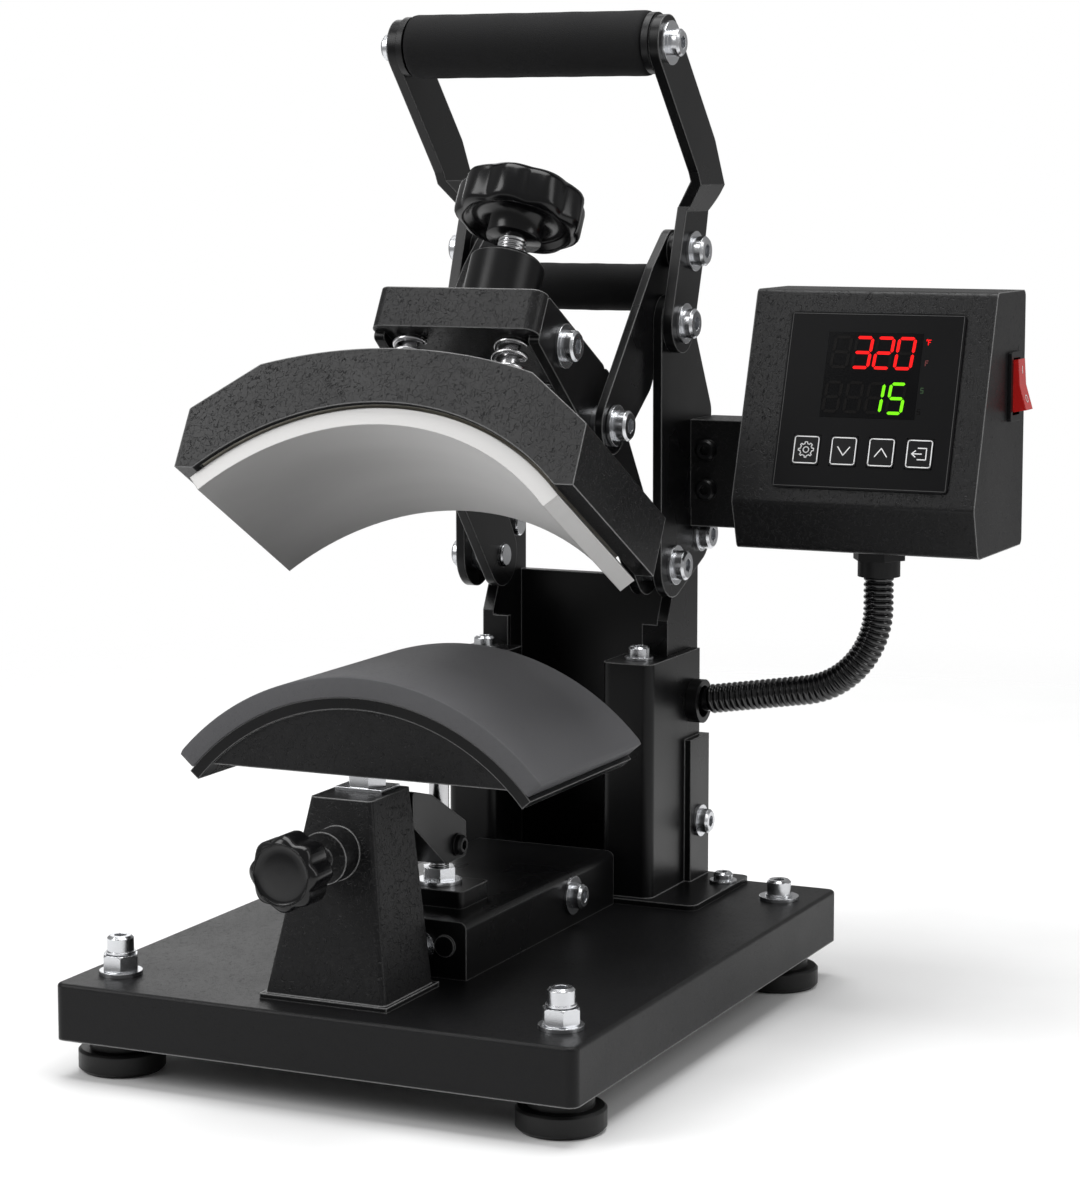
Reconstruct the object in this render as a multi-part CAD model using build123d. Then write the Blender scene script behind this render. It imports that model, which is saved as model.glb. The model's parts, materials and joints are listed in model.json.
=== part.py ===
from build123d import *
from math import asin, cos, degrees, pi, radians, sin, tan
import os

os.makedirs("parts", exist_ok=True)

# Cap heat press: a curved heating platen swings down on a curved pad.
# Millimetres. x = 0 is the press's mid-plane, -Y is the operator's side,
# and z = 0 is the top face of the base plate until the last move.

# ---- driving dimensions -------------------------------------------------
FIT = 0.05                     # radial running fit of a pin or screw
GAP = 0.3                      # clearance between plates that slide past each other

BASE_HALF_W = 110.0
BASE_FRONT_Y, BASE_REAR_Y = -136.0, 142.0
BASE_T, BASE_H = 3.0, 22.3
FOOT_X = BASE_HALF_W - 16.0
FOOT_FRONT_Y, FOOT_REAR_Y = BASE_FRONT_Y + 23.0, BASE_REAR_Y - 29.0
FOOT_R, FOOT_NECK_R, FOOT_LOW, FOOT_HIGH = 17.0, 12.5, 9.0, 6.0

# linkage pivots in the open pose, as (y, z)
TURN = (101.5, 246.1)          # lever fulcrum on the tower cheeks
CRANK = (111.8, 276.2)         # lever crank pin
HINGE = (104.1, 143.1)         # press arm hinge
MAST_BOLT = (133.0, 153.4)     # tower cheek to mast
OPEN_ANGLE = 29.2              # the press arm's swing, degrees
GRIP = (64.0, 361.5)

PIN_R = 5.0
PLATE_T = 4.5                  # lever and press arm plates
LINK_T = 3.5
ARM_X = 32.0                   # inner face of a press arm
LINK_X = ARM_X + PLATE_T + 4.0
CHEEK_X = LINK_X + LINK_T + GAP
CHEEK_T = 4.0
LEVER_X = CHEEK_X + CHEEK_T + GAP
LEVER_OUT_X = 57.0             # inner face of the lever above its jog
MAST_X, MAST_T = CHEEK_X - 5.3, 5.0

# press arm and platen, in the closed pose with the platen level
KNEE_SHUT = (25.2, 171.7)      # link to press arm
BLOCK_PIN = (-20.9, 185.0)
ARM_LOW, ARM_TOP, ARM_FRONT = 175.5, 196.0, -43.0
BLOCK_REAR = 14.0
SCREW_Y = -14.0
SCREW_R = 6.0
BOSS_R, BOSS_TOP = 15.5, 226.0
KNOB_R, KNOB_LOW, KNOB_TOP, KNOB_LOBES = 27.0, 242.0, 259.0, 9
THREAD_PITCH = 1.75
PLATEN_FEED = 3.5

PLATEN_FRONT, PLATEN_REAR = -85.0, 3.0
ARC_Z = 120.5                  # crown height of the pad and of the heater face
PAD_ARC_R = 103.5
HEAT_ARC_R = 104.0
HEAT_HALF_W, HEAT_T = 73.67, 7.0
HEAT_HALF_ANGLE = degrees(asin(HEAT_HALF_W / HEAT_ARC_R))
PAD_HALF_ANGLE, PAD_T = 48.6, 8.0
PAD_FRONT, PAD_REAR = -94.5, 1.0
SUPPORT_T = 4.6

SPRING_X, SPRING_YS = 22.5, (-37.0, 4.0)
SPRING_R, WIRE_R, SPRING_TURNS = 6.2, 1.1, 5
SPRING_LOW, SPRING_HIGH = 148.8, ARM_LOW + 3
GUIDE_R = 3.5

CONDUIT_Y, CONDUIT_R, CONDUIT_BORE = 128.0, 6.5, 4.4
CONDUIT_TOP, CONDUIT_CORNER, CONDUIT_END = (132.0, 152.0), (132.0, 94.0), (46.5, 80.5)
CONDUIT_BEND, RIB_PITCH = 38.0, 2.6

BOX_X0, BOX_X1 = 80.0, 185.0
BOX_SIDE = [(118.5, 260.5), (158.0, 260.5), (158.0, 153.0), (96.0, 153.0), (89.5, 173.5)]
SHEET = 2.0


def opened(point):
    """A (y, z) point of the closed press arm, seen in the open pose."""
    a = radians(-OPEN_ANGLE)
    y, z = point[0] - HINGE[0], point[1] - HINGE[1]
    return (HINGE[0] + y * cos(a) - z * sin(a), HINGE[1] + y * sin(a) + z * cos(a))


KNEE = opened(KNEE_SHUT)
SOLIDS = {}


def add(name, *shapes):
    """Keep every solid of the shapes under the node's name."""
    solids = [s for shape in shapes for s in shape.solids()]
    SOLIDS.setdefault(name, []).extend(solids)


def block(x0, x1, y0, y1, z0, z1):
    return Pos((x0 + x1) / 2, (y0 + y1) / 2, (z0 + z1) / 2) * Box(x1 - x0, y1 - y0, z1 - z0)


def rod_x(x0, x1, y, z, r):
    return Pos((x0 + x1) / 2, y, z) * Rot(0, 90, 0) * Cylinder(r, abs(x1 - x0))


def rod_y(x, y0, y1, z, r):
    return Pos(x, (y0 + y1) / 2, z) * Rot(90, 0, 0) * Cylinder(r, abs(y1 - y0))


def rod_z(x, y, z0, z1, r):
    return Pos(x, y, (z0 + z1) / 2) * Cylinder(r, abs(z1 - z0))


def hull(*circles):
    """Outline round circles given as (y, z, r)."""
    edges = [Pos(y, z) * Circle(r).edges()[0] for y, z, r in circles]
    return make_hull(edges)


def plate(outline, x0, x1):
    """A plate square to X, from an outline drawn in y and z."""
    return extrude(Plane.YZ.offset(x0) * outline, x1 - x0, dir=(1, 0, 0))


def both_sides(shape):
    return [shape, mirror(shape, Plane.YZ)]


def lathe(profile):
    """A turned piece round Z from (radius, height) points."""
    return revolve(Plane.XZ * Polygon(*profile, align=None), Axis.Z)


def bolt(shank_r, length, head_r=6.3, head_h=5.0, flange_r=8.5, flange_h=1.6):
    """A flanged socket bolt along +Z: its head stands on z = 0."""
    top = flange_h + head_h
    outline = [(0, -length), (shank_r - 0.6, -length), (shank_r, -length + 0.6), (shank_r, 0), (flange_r, 0),
               (flange_r, flange_h), (head_r, flange_h), (head_r, top - 1.0), (head_r - 1.0, top), (0, top)]
    socket = Pos(0, 0, top - 3.0) * extrude(RegularPolygon(head_r * 0.5, 6), 4)
    return lathe(outline) - socket


def bolts_x(x, y, z, shank_r, length, **sizes):
    """A mirrored pair of bolts whose heads stand outside |x|."""
    one = Pos(x, y, z) * Rot(0, 90, 0) * bolt(shank_r, length, **sizes)
    return both_sides(one)


def tilted(shape):
    """From the closed pose, where it is drawn, to the open one."""
    return Pos(0, *HINGE) * Rot(-OPEN_ANGLE, 0, 0) * Pos(0, -HINGE[0], -HINGE[1]) * shape


def section(sketch, y0, y1):
    """Extrude a sketch drawn in x and z from y0 to y1."""
    return extrude(Plane.XZ.offset(-y1) * sketch, y1 - y0, dir=(0, -1, 0))


def arc_band(half_angle, centre_z, arc_r, thick, y0, y1):
    """An arched slab whose lower face has radius arc_r about centre_z."""
    reach = 2 * arc_r
    edge = reach * tan(radians(half_angle))
    wedge = Polygon((0, 0), (-edge, reach), (edge, reach), align=None)
    band = (Circle(arc_r + thick) - Circle(arc_r)) & wedge
    return section(Pos(0, centre_z) * band, y0, y1)


# ---- base plate and feet --------------------------------------------------
def base_plate():
    tray = block(-BASE_HALF_W, BASE_HALF_W, BASE_FRONT_Y, BASE_REAR_Y, -BASE_H, 0)
    tray = fillet(tray.edges().filter_by(Axis.Z), 4)
    tray = fillet(tray.faces().sort_by(Axis.Z)[-1].edges(), 1.5)
    wall = BASE_T
    half = BASE_HALF_W - wall
    hollow = block(-half, half, BASE_FRONT_Y + wall, BASE_REAR_Y - wall, -BASE_H - 1, -wall)
    tray -= fillet(hollow.edges().filter_by(Axis.Z), 2)
    for x, y in foot_places():
        tray -= rod_z(x, y, -BASE_H, 1, 4 + FIT)
    for side in (-1, 1):
        tray -= rod_z(side * FLANGE_HOLE[0], FLANGE_HOLE[1], -BASE_H, 1, 3 + FIT)
    add("base_plate", tray)


def foot_places():
    return [(side * FOOT_X, y) for y in (FOOT_FRONT_Y, FOOT_REAR_Y) for side in (-1, 1)]


def feet_and_bolts():
    low = -BASE_H - FOOT_HIGH - FOOT_LOW
    for x, y in foot_places():
        rim = low + FOOT_LOW
        sole = [(0, low), (FOOT_R - 1.5, low), (FOOT_R, low + 1.5), (FOOT_R, rim - 1), (FOOT_R - 1, rim)]
        foot = lathe([*sole, (FOOT_NECK_R, rim), (FOOT_NECK_R, -BASE_T), (0, -BASE_T)])
        foot -= rod_z(0, 0, -BASE_H - 2, 0, 4 + FIT)
        add("rubber_feet", Pos(x, y) * foot)
        add("foot_screws", Pos(x, y) * (rod_z(0, 0, 0, 1.8, 8.5) - rod_z(0, 0, -1, 3, 4 + FIT)))
        head_z = 8.6 if y < 0 else 1.8
        if y < 0:
            nut = Pos(0, 0, 1.8) * extrude(RegularPolygon(7.5, 6), 6.5)
            nut = nut & lathe([(0, 1.8), (6.8, 1.8), (7.5, 2.6), (7.5, 7.5), (6.8, 8.3), (0, 8.3)])
            add("foot_screws", Pos(x, y) * (nut - rod_z(0, 0, 0, 10, 4 + FIT)))
        screw = bolt(4, head_z + BASE_H, head_r=5.2, head_h=6.2, flange_r=5.8, flange_h=0.8)
        add("foot_screws", Pos(x, y, head_z) * screw)


# ---- mast, side covers and tower ------------------------------------------
MAST_FRONT, MAST_REAR = 108.0, 142.0
MAST_TOP, MAST_BACK_TOP, MAST_LIP_TOP = 168.0, 133.0, 118.0
FLANGE_T = 2.5
FLANGE_HOLE = (64.0, 124.0)
COVER_X0, COVER_X1, COVER_FRONT, COVER_REAR, COVER_TOP = 25.0, 48.0, 80.0, 135.0, 103.0


def mast():
    side = Polygon((MAST_FRONT, FLANGE_T), (MAST_REAR, FLANGE_T), (MAST_REAR, MAST_TOP), (123, MAST_TOP),
                   (MAST_FRONT + 6, 130), (MAST_FRONT, MAST_LIP_TOP), align=None)
    walls = both_sides(plate(side, MAST_X, MAST_X + MAST_T))
    back = block(-MAST_X - 1, MAST_X + 1, MAST_REAR - MAST_T, MAST_REAR, FLANGE_T, MAST_BACK_TOP)
    lips = both_sides(block(ARM_X, MAST_X + 1, MAST_FRONT, MAST_FRONT + 3, FLANGE_T, MAST_LIP_TOP - 2))
    channel = back + walls[0] + walls[1] + lips[0] + lips[1]
    y, z = MAST_BOLT
    channel -= rod_x(-60, 60, y, z, PIN_R + FIT)
    add("mast_channel", channel)


def side_cover():
    """The right cover; the left one mirrors it."""
    x0, x1, y0, y1 = COVER_X0, COVER_X1, COVER_FRONT, COVER_REAR
    body = block(x0, x1, y0, MAST_FRONT - GAP, FLANGE_T, COVER_TOP)
    body += block(MAST_X + MAST_T + GAP, x1, y0, y1, FLANGE_T, COVER_TOP)
    low_wall = block(x1 - SHEET, x1 + 3, 118, y1 + 4, FLANGE_T, 65)
    corner = body.edges().filter_by(Axis.Z).sort_by(Axis.Y)[:2]
    body = fillet(corner, 4)
    rear = MAST_FRONT - GAP - SHEET
    hollow = block(x0 + SHEET, x1 - SHEET, y0 + SHEET, rear, FLANGE_T - 1, COVER_TOP - SHEET)
    body = body - hollow + low_wall + mast_flange()
    body -= rod_z(36.5, 94, COVER_TOP - 5, COVER_TOP + 1, 3 + FIT)
    body -= rod_x(x1 - 8, x1 + 8, 128, 28, 3 + FIT)
    return body


def covers():
    right = side_cover()
    conduit_hole = rod_x(COVER_X1 - 6, COVER_X1 + 2, CONDUIT_Y, CONDUIT_END[1], CONDUIT_R)
    add("side_covers", right - conduit_hole, mirror(right, Plane.YZ))
    cap = bolt(3, 6, head_r=4.6, head_h=4.6, flange_r=6.2, flange_h=1.2)
    for side in (-1, 1):
        add("frame_screws", Pos(side * 36.5, 94, COVER_TOP) * cap)
    side_bolts = bolts_x(COVER_X1 + 3, 128, 28, 3, 5, head_r=5.2, head_h=4.2, flange_r=7, flange_h=1.4)
    add("frame_screws", *side_bolts)


def mast_flange():
    """The foot that each side cover is welded to."""
    outline = Pos(42.5, 108.5) * RectangleRounded(55, 65, 4)
    return extrude(outline, FLANGE_T) - rod_z(*FLANGE_HOLE, -1, 5, 3 + FIT)


def flange_screws():
    screw = bolt(3, FLANGE_T + BASE_T, head_r=4.2, head_h=3.4, flange_r=6, flange_h=1.2)
    for side in (-1, 1):
        add("frame_screws", Pos(side * FLANGE_HOLE[0], FLANGE_HOLE[1], FLANGE_T) * screw)


def tower():
    outline = hull((*TURN, 12), (117, 247, 6), (139, 206, 7), (*MAST_BOLT, 12), (*HINGE, 14))
    cheek = plate(outline, CHEEK_X, CHEEK_X + CHEEK_T)
    for y, z in (TURN, HINGE, MAST_BOLT):
        cheek -= rod_x(0, 60, y, z, PIN_R + FIT)
    add("tower_cheeks", *both_sides(cheek))
    outer = CHEEK_X + CHEEK_T
    add("tower_bolts", *bolts_x(outer, *MAST_BOLT, PIN_R, outer - MAST_X + 2, flange_r=7.5))
    add("tower_bolts", *bolts_x(outer, *HINGE, PIN_R, outer - ARM_X + 1.5, flange_r=8.5))
    spacer = rod_x(ARM_X + PLATE_T + GAP, CHEEK_X - FIT, *HINGE, 7.5) - rod_x(0, 60, *HINGE, PIN_R + FIT)
    add("tower_bolts", *both_sides(spacer))


# ---- press arm --------------------------------------------------------------
def press_arm():
    knee_y, knee_z = KNEE_SHUT
    front = ARM_FRONT + 2
    low, top = ARM_LOW + 2, ARM_TOP - 2
    beam = hull((front, top, 2), (front, low, 2), (18, top - 2, 4), (knee_y, knee_z + 4, 12))
    tail = hull((knee_y, knee_z, 13), (24, 190, 6), (*HINGE, 13.5))
    arm = plate(beam + tail, ARM_X, ARM_X + PLATE_T)
    for y, z in (KNEE_SHUT, HINGE, BLOCK_PIN):
        arm -= rod_x(0, 60, y, z, PIN_R + FIT)
    add("press_arms", *[tilted(part) for part in both_sides(arm)])
    outer = ARM_X + PLATE_T
    for b in bolts_x(outer, *BLOCK_PIN, PIN_R, 18, flange_r=9):
        add("arm_bolts", tilted(b))
    link_out = LINK_X + LINK_T + GAP
    add("arm_bolts", *bolts_x(link_out, *KNEE, PIN_R, link_out - ARM_X, head_h=5.5))
    spacer = rod_x(outer, LINK_X - FIT, *KNEE, 8.0) - rod_x(0, 60, *KNEE, PIN_R + FIT)
    add("arm_bolts", *both_sides(spacer))


def bridge():
    half = ARM_X - FIT
    body = block(-half, half, ARM_FRONT, BLOCK_REAR, ARM_LOW + 3, ARM_TOP)
    front = block(-ARM_X - PLATE_T, ARM_X + PLATE_T, ARM_FRONT - 6, ARM_FRONT - FIT, ARM_LOW + 3, ARM_TOP)
    front = fillet(front.edges().filter_by(Axis.Z).sort_by(Axis.Y)[:2], 5)
    body += front + block(-half, half, ARM_FRONT - 1, ARM_FRONT + 1, ARM_LOW + 3, ARM_TOP)
    body -= rod_z(0, SCREW_Y, 0, 300, SCREW_R + FIT)
    body -= rod_x(-60, 60, *BLOCK_PIN, PIN_R + FIT)
    for y in SPRING_YS:
        for side in (-1, 1):
            body -= rod_z(side * SPRING_X, y, 0, ARM_TOP - 2, GUIDE_R + FIT)
    add("bridge_block", tilted(body))
    boss = lathe([(SCREW_R + FIT, ARM_TOP), (BOSS_R, ARM_TOP), (BOSS_R, BOSS_TOP - 1.5),
                  (BOSS_R - 1.5, BOSS_TOP), (SCREW_R + FIT, BOSS_TOP)])
    add("pressure_boss", tilted(Pos(0, SCREW_Y) * boss))


def springs_and_guides():
    spring = coil()
    for y in SPRING_YS:
        for side in (-1, 1):
            place = Pos(side * SPRING_X, y)
            add("springs", tilted(place * spring))
            pin = rod_z(0, 0, SPRING_LOW, ARM_TOP - 8, GUIDE_R)
            add("spring_guides", tilted(place * pin))


def coil():
    """One compression spring, a helix made of two arcs for each quarter turn."""
    low = SPRING_LOW + WIRE_R + 0.05
    rise = SPRING_HIGH - WIRE_R - 0.05 - low
    steps = 4 * SPRING_TURNS
    pitch = rise / SPRING_TURNS

    def point(i):
        a = i * pi / 2
        return Vector(SPRING_R * cos(a), SPRING_R * sin(a), low + rise * i / steps)

    def heading(i):
        a = i * pi / 2
        return Vector(-SPRING_R * sin(a), SPRING_R * cos(a), pitch / (2 * pi)).normalized()

    arcs = []
    for i in range(steps):
        arcs += biarc(point(i), heading(i), point(i + 1), heading(i + 1))
    start = Plane(origin=point(0), z_dir=heading(0))
    centre_line = Wire(arcs)
    print_gap("spring", centre_line, WIRE_R, pi * SPRING_R)
    return sweep(start * Circle(WIRE_R), centre_line)


def print_gap(name, path, tube_r, apart):
    """Measure a tube's least gap to itself on points that are at least apart along it."""
    count = int(path.length / (tube_r / 2))
    spots = [path.position_at(i / count) for i in range(count + 1)]
    far = int(apart / path.length * count)
    gap = min((a - b).length for i, a in enumerate(spots) for b in spots[i + far:]) - 2 * tube_r
    print(f"{name}: length {path.length:.1f} mm, least gap to itself {gap:.2f} mm")


def biarc(p, t, q, u):
    """Two tangent arcs from p heading t to q heading u."""
    v = q - p
    s = t + u
    a = s.dot(s) - 4
    b = -2 * v.dot(s)
    c = v.dot(v)
    d = (-b - (b * b - 4 * a * c) ** 0.5) / (2 * a)
    d = d if d > 0 else (-b + (b * b - 4 * a * c) ** 0.5) / (2 * a)
    p1 = p + t * d
    q1 = q - u * d
    mid = (p1 + q1) * 0.5
    return [TangentArc(p, mid, tangent=t), TangentArc(mid, q, tangent=q1 - p1)]


# ---- heated platen -----------------------------------------------------------
HEAT_CENTRE = ARC_Z - HEAT_ARC_R
SHELL_ARC_R = HEAT_ARC_R + HEAT_T + 1.2
HEAT_END_Z = HEAT_CENTRE + (HEAT_ARC_R + HEAT_T) * cos(radians(HEAT_HALF_ANGLE))
SHELL_SIDE, SHELL_CORNER_Z = 85.0, 123.0
SHELL_LOW = HEAT_END_Z + 3.15
SHELL_SHOULDER = (58.5, 143.0)
SHELL_TOP = 151.5
SHELL_WALL = 2.5
LIP_T = 2.2
ELEMENT_T, BLANKET_T = 1.5, 7.0
CORE_R = HEAT_ARC_R + HEAT_T + ELEMENT_T + BLANKET_T + 6.5
CORE_HALF_W, CORE_LOW = 40.0, 144.0


def shell_outline(inset, low):
    side, top = SHELL_SIDE - inset, SHELL_TOP - inset
    sx, sz = SHELL_SHOULDER[0] - inset * 0.4, SHELL_SHOULDER[1] - inset
    corner = SHELL_CORNER_Z - inset * 0.4
    path = [Line((side, low), (side, corner)), Line((side, corner), (sx, sz)),
            ThreePointArc((sx, sz), (0, top), (-sx, sz)), Line((-sx, sz), (-side, corner)),
            Line((-side, corner), (-side, low)), Line((-side, low), (side, low))]
    return make_face(path)


def platen():
    y0, y1 = PLATEN_FRONT, PLATEN_REAR
    shell = section(shell_outline(0, SHELL_LOW), y0, y1)
    upper = shell.edges().filter_by(Axis.Y).filter_by(lambda e: e.center().Z > SHELL_CORNER_Z - 1)
    shell = fillet(upper, 1.5)
    shell -= section(shell_outline(SHELL_WALL, SHELL_LOW - 9), y0 + SHELL_WALL, y1 - SHELL_WALL)
    shell += block(-SHELL_SIDE + 1, SHELL_SIDE - 1, y0 + 1, y1 - 1, SHELL_LOW, SHELL_LOW + LIP_T)
    shell -= section(Pos(0, HEAT_CENTRE) * Circle(SHELL_ARC_R), y0 - 1, y1 + 1)
    core = block(-CORE_HALF_W, CORE_HALF_W, y0 + 1, y1 - 1, CORE_LOW, SHELL_TOP + 3)
    core &= section(shell_outline(0, SHELL_LOW), y0, y1)
    shell += core - section(Pos(0, HEAT_CENTRE) * Circle(CORE_R), y0, y1)
    for y in SPRING_YS:
        for side in (-1, 1):
            shell -= rod_z(side * SPRING_X, y, SPRING_LOW, SHELL_TOP + 3, SPRING_R + WIRE_R + 0.6)
    shell -= rod_z(0, SCREW_Y, THRUST_LOW, SHELL_TOP + 3, THRUST_R + FIT)
    add("platen_shell", tilted(shell))
    y0, y1 = y0 + SHELL_WALL + 0.3, y1 - SHELL_WALL - 0.3
    heater = arc_band(HEAT_HALF_ANGLE, HEAT_CENTRE, HEAT_ARC_R, HEAT_T, y0, y1)
    add("heating_plate", tilted(heater))
    radius = HEAT_ARC_R + HEAT_T
    element = arc_band(HEAT_HALF_ANGLE - 5, HEAT_CENTRE, radius, ELEMENT_T, y0 + 6, y1 - 6)
    add("heating_element", tilted(element))
    blanket = arc_band(HEAT_HALF_ANGLE - 3.5, HEAT_CENTRE, radius + ELEMENT_T, BLANKET_T, y0, y1)
    add("insulation", tilted(blanket))


THRUST_R, THRUST_LOW, THRUST_TOP = 10.0, 147.5, 166.0


def pressure_screw():
    collar = rod_z(0, SCREW_Y, THRUST_LOW, THRUST_TOP, THRUST_R)
    collar -= rod_z(0, SCREW_Y, THRUST_LOW + 3, THRUST_TOP + 1, SCREW_R + FIT)
    add("thrust_collar", tilted(collar))
    screw = rod_z(0, SCREW_Y, THRUST_LOW + 3.05, KNOB_TOP - 8, SCREW_R)
    add("pressure_screw", tilted(screw))
    knob = lobed_knob(KNOB_R, KNOB_LOW, KNOB_TOP, KNOB_LOBES, SCREW_R)
    add("pressure_knob", tilted(Pos(0, SCREW_Y) * knob))


def lobed_knob(r, low, top, lobes, bore_r):
    """A lobed hand knob along +Z, hollow below, with a hub that reaches down."""
    lobe_r = r * 0.22
    outline = Circle(r - lobe_r * 0.9)
    for place in PolarLocations(r - lobe_r, lobes):
        outline += place * Circle(lobe_r)
    knob = extrude(Pos(0, 0, low) * outline, top - low)
    knob = fillet(knob.faces().sort_by(Axis.Z)[-1].edges(), 1.6)
    hub_low = low - (top - low) * 0.36
    knob -= rod_z(0, 0, low - 1, top - (top - low) * 0.35, r * 0.66)
    knob += rod_z(0, 0, hub_low, top - 2, r * 0.43)
    return knob - rod_z(0, 0, hub_low - 1, top - 8, bore_r)


# ---- link, handle --------------------------------------------------------------
LINK_BAR = (98.0, 261.0)


def link():
    outline = hull((*KNEE, 12), (*CRANK, 9), (KNEE[0] + 30, KNEE[1] + 21, 12), (*LINK_BAR, 12))
    one = plate(outline, LINK_X, LINK_X + LINK_T) - rod_x(0, 60, *KNEE, PIN_R + FIT)
    hub = rod_x(LINK_X + LINK_T, LEVER_X - GAP, *CRANK, 7.5)
    add("link_plates", *both_sides(one), *both_sides(hub))
    add("link_bar", rod_x(-LINK_X, LINK_X, *LINK_BAR, 5.0))
    sleeve = rod_x(-LINK_X + GAP, LINK_X - GAP, *LINK_BAR, 10.0) - rod_x(-60, 60, *LINK_BAR, 5.0 + FIT)
    add("link_sleeve", sleeve)


def handle():
    knuckle = (106.0, 316.0)
    bend = (118.0, 296.0)
    outline = hull((*GRIP, 11.5), (*knuckle, 11.5)) + hull((*knuckle, 11.5), (*bend, 11.5))
    outline += hull((*bend, 11.5), (*CRANK, 12.5)) + hull((*CRANK, 12.5), (*TURN, 12.5))
    side = extrude(Plane.YZ * outline, 90)
    step0, step1 = 293.0, 304.0
    low, high = LEVER_X, LEVER_OUT_X
    low_out, high_out = low + PLATE_T, high + PLATE_T
    strip = Polygon((low, 0), (low_out, 0), (low_out, step0), (high_out, step1), (high_out, 400),
                    (high, 400), (high, step1 + 1.5), (low, step0 + 1.5), align=None)
    lever = side & section(strip, -400, 400)
    lever -= rod_x(0, 90, *GRIP, 4 + FIT)
    for y, z in (TURN, CRANK):
        lever -= rod_x(0, 90, y, z, PIN_R + FIT)
    add("levers", *both_sides(lever))
    add("tower_bolts", *bolts_x(low + PLATE_T, *TURN, PIN_R, low + PLATE_T - CHEEK_X, head_h=4.5))
    add("lever_bolts", *bolts_x(low + PLATE_T, *CRANK, PIN_R, low + PLATE_T - LEVER_X))
    add("lever_bolts", *bolts_x(high + PLATE_T, *GRIP, 4, 20, head_r=5.6, head_h=4.6, flange_r=9))
    bore = rod_x(-90, 90, *GRIP, 4 + FIT)
    add("handle_tube", rod_x(-high + FIT, high - FIT, *GRIP, 9.0) - bore)
    sleeve = rod_x(-54, 54, *GRIP, 13.3)
    sleeve = fillet(sleeve.edges(), 2)
    add("foam_grip", sleeve - rod_x(-90, 90, *GRIP, 9.0 + FIT))
    collar = rod_x(54.1, high - FIT, *GRIP, 12.5) - rod_x(0, 90, *GRIP, 9.0 + FIT)
    add("grip_collars", *both_sides(collar))


# ---- pad and its carrier ---------------------------------------------------------
PAD_CENTRE = ARC_Z - PAD_ARC_R
WEB_LOW, WEB_FRONT, WEB_REAR = 82.0, -93.0, -6.0
STEM_Y, STEM_R = -85.0, 5.0
POST_TOP, POST_WALL = 76.0, 3.0
POST_HALF_TOP, POST_FRONT, POST_REAR = 13.0, -106.8, -74.0
POST_HALF_LOW, POST_FRONT_LOW, POST_REAR_LOW = 25.5, -120.6, -80.0
STRAP_HALF_W, STRAP_LOW, STRAP_REAR = 8.0, 40.0, -28.0
ROD_X, ROD_Y, ROD_R = 6.0, -36.0, 4.0
CHANNEL_HALF_W, CHANNEL_FRONT, CHANNEL_REAR, CHANNEL_TOP = 33.0, -67.0, 75.5, 23.0


def pad():
    inner = PAD_ARC_R - PAD_T
    slab = arc_band(PAD_HALF_ANGLE, PAD_CENTRE, inner, PAD_T, PAD_FRONT, PAD_REAR)
    add("silicone_pad", slab)
    r = inner - SUPPORT_T
    sheet = arc_band(PAD_HALF_ANGLE + 1.2, PAD_CENTRE, r, SUPPORT_T, PAD_FRONT + 0.5, PAD_REAR - 0.5)
    add("pad_support", sheet)

    def below_arc(radius, low):
        return (Pos(0, PAD_CENTRE) * Circle(radius)) & (Pos(0, low + 50) * Rectangle(200, 100))

    web = section(below_arc(r, WEB_LOW), WEB_FRONT, WEB_REAR)
    web -= section(below_arc(r - 3, WEB_LOW + 3), WEB_FRONT + 3, WEB_REAR - 3)
    web -= rod_z(0, STEM_Y, 60, WEB_LOW + 3, STEM_R + FIT)
    web -= rod_z(ROD_X, ROD_Y, 60, WEB_LOW + 3, ROD_R + FIT)
    add("pad_web", web)
    add("pad_stem", rod_z(0, STEM_Y, 46, WEB_LOW + 3, STEM_R))
    washer = block(-10, 10, STEM_Y - 7.5, STEM_Y + 7.5, POST_TOP, POST_TOP + 1.5)
    add("pad_nuts", washer - rod_z(0, STEM_Y, 0, 99, STEM_R + FIT))
    nut = Pos(0, STEM_Y, POST_TOP + 1.5) * extrude(RegularPolygon(8, 6), WEB_LOW - POST_TOP - 1.5)
    add("pad_nuts", nut - rod_z(0, STEM_Y, 0, 99, STEM_R + FIT))


def post_loft(inset, low, top):
    def frame(z, half_w, y0, y1):
        w, d = 2 * (half_w - inset), y1 - y0 - 2 * inset
        return Pos(0, (y0 + y1) / 2, z) * Rectangle(w, d)
    foot = frame(low, POST_HALF_LOW, POST_FRONT_LOW, POST_REAR_LOW)
    return loft([foot, frame(top, POST_HALF_TOP, POST_FRONT, POST_REAR)])


def front_post():
    post = post_loft(0, 2, POST_TOP)
    post = fillet(post.edges().filter_by(lambda e: abs(e.tangent_at(0.5).Z) > 0.9), 2)
    rim = 1.5
    half = POST_HALF_LOW + rim
    post += block(-half, half, POST_FRONT_LOW - rim, POST_REAR_LOW + rim, 0, 2)
    post -= post_loft(POST_WALL, -1, POST_TOP - POST_WALL)
    post -= rod_z(0, STEM_Y, 60, 99, STEM_R + FIT)
    boss = rod_y(0, -121, -108, CLAMP_Z, 10) - post_loft(POST_WALL / 2, 2, POST_TOP)
    post = post + boss - rod_y(0, -130, CLAMP_IN_Y, CLAMP_Z, 4 + FIT)
    add("front_post", post)


CLAMP_Z, CLAMP_IN_Y = 56.0, -98.0
CLAMP_KNOB_R, CLAMP_BACK, CLAMP_FRONT = 14.5, -137.0, -153.0


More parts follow.
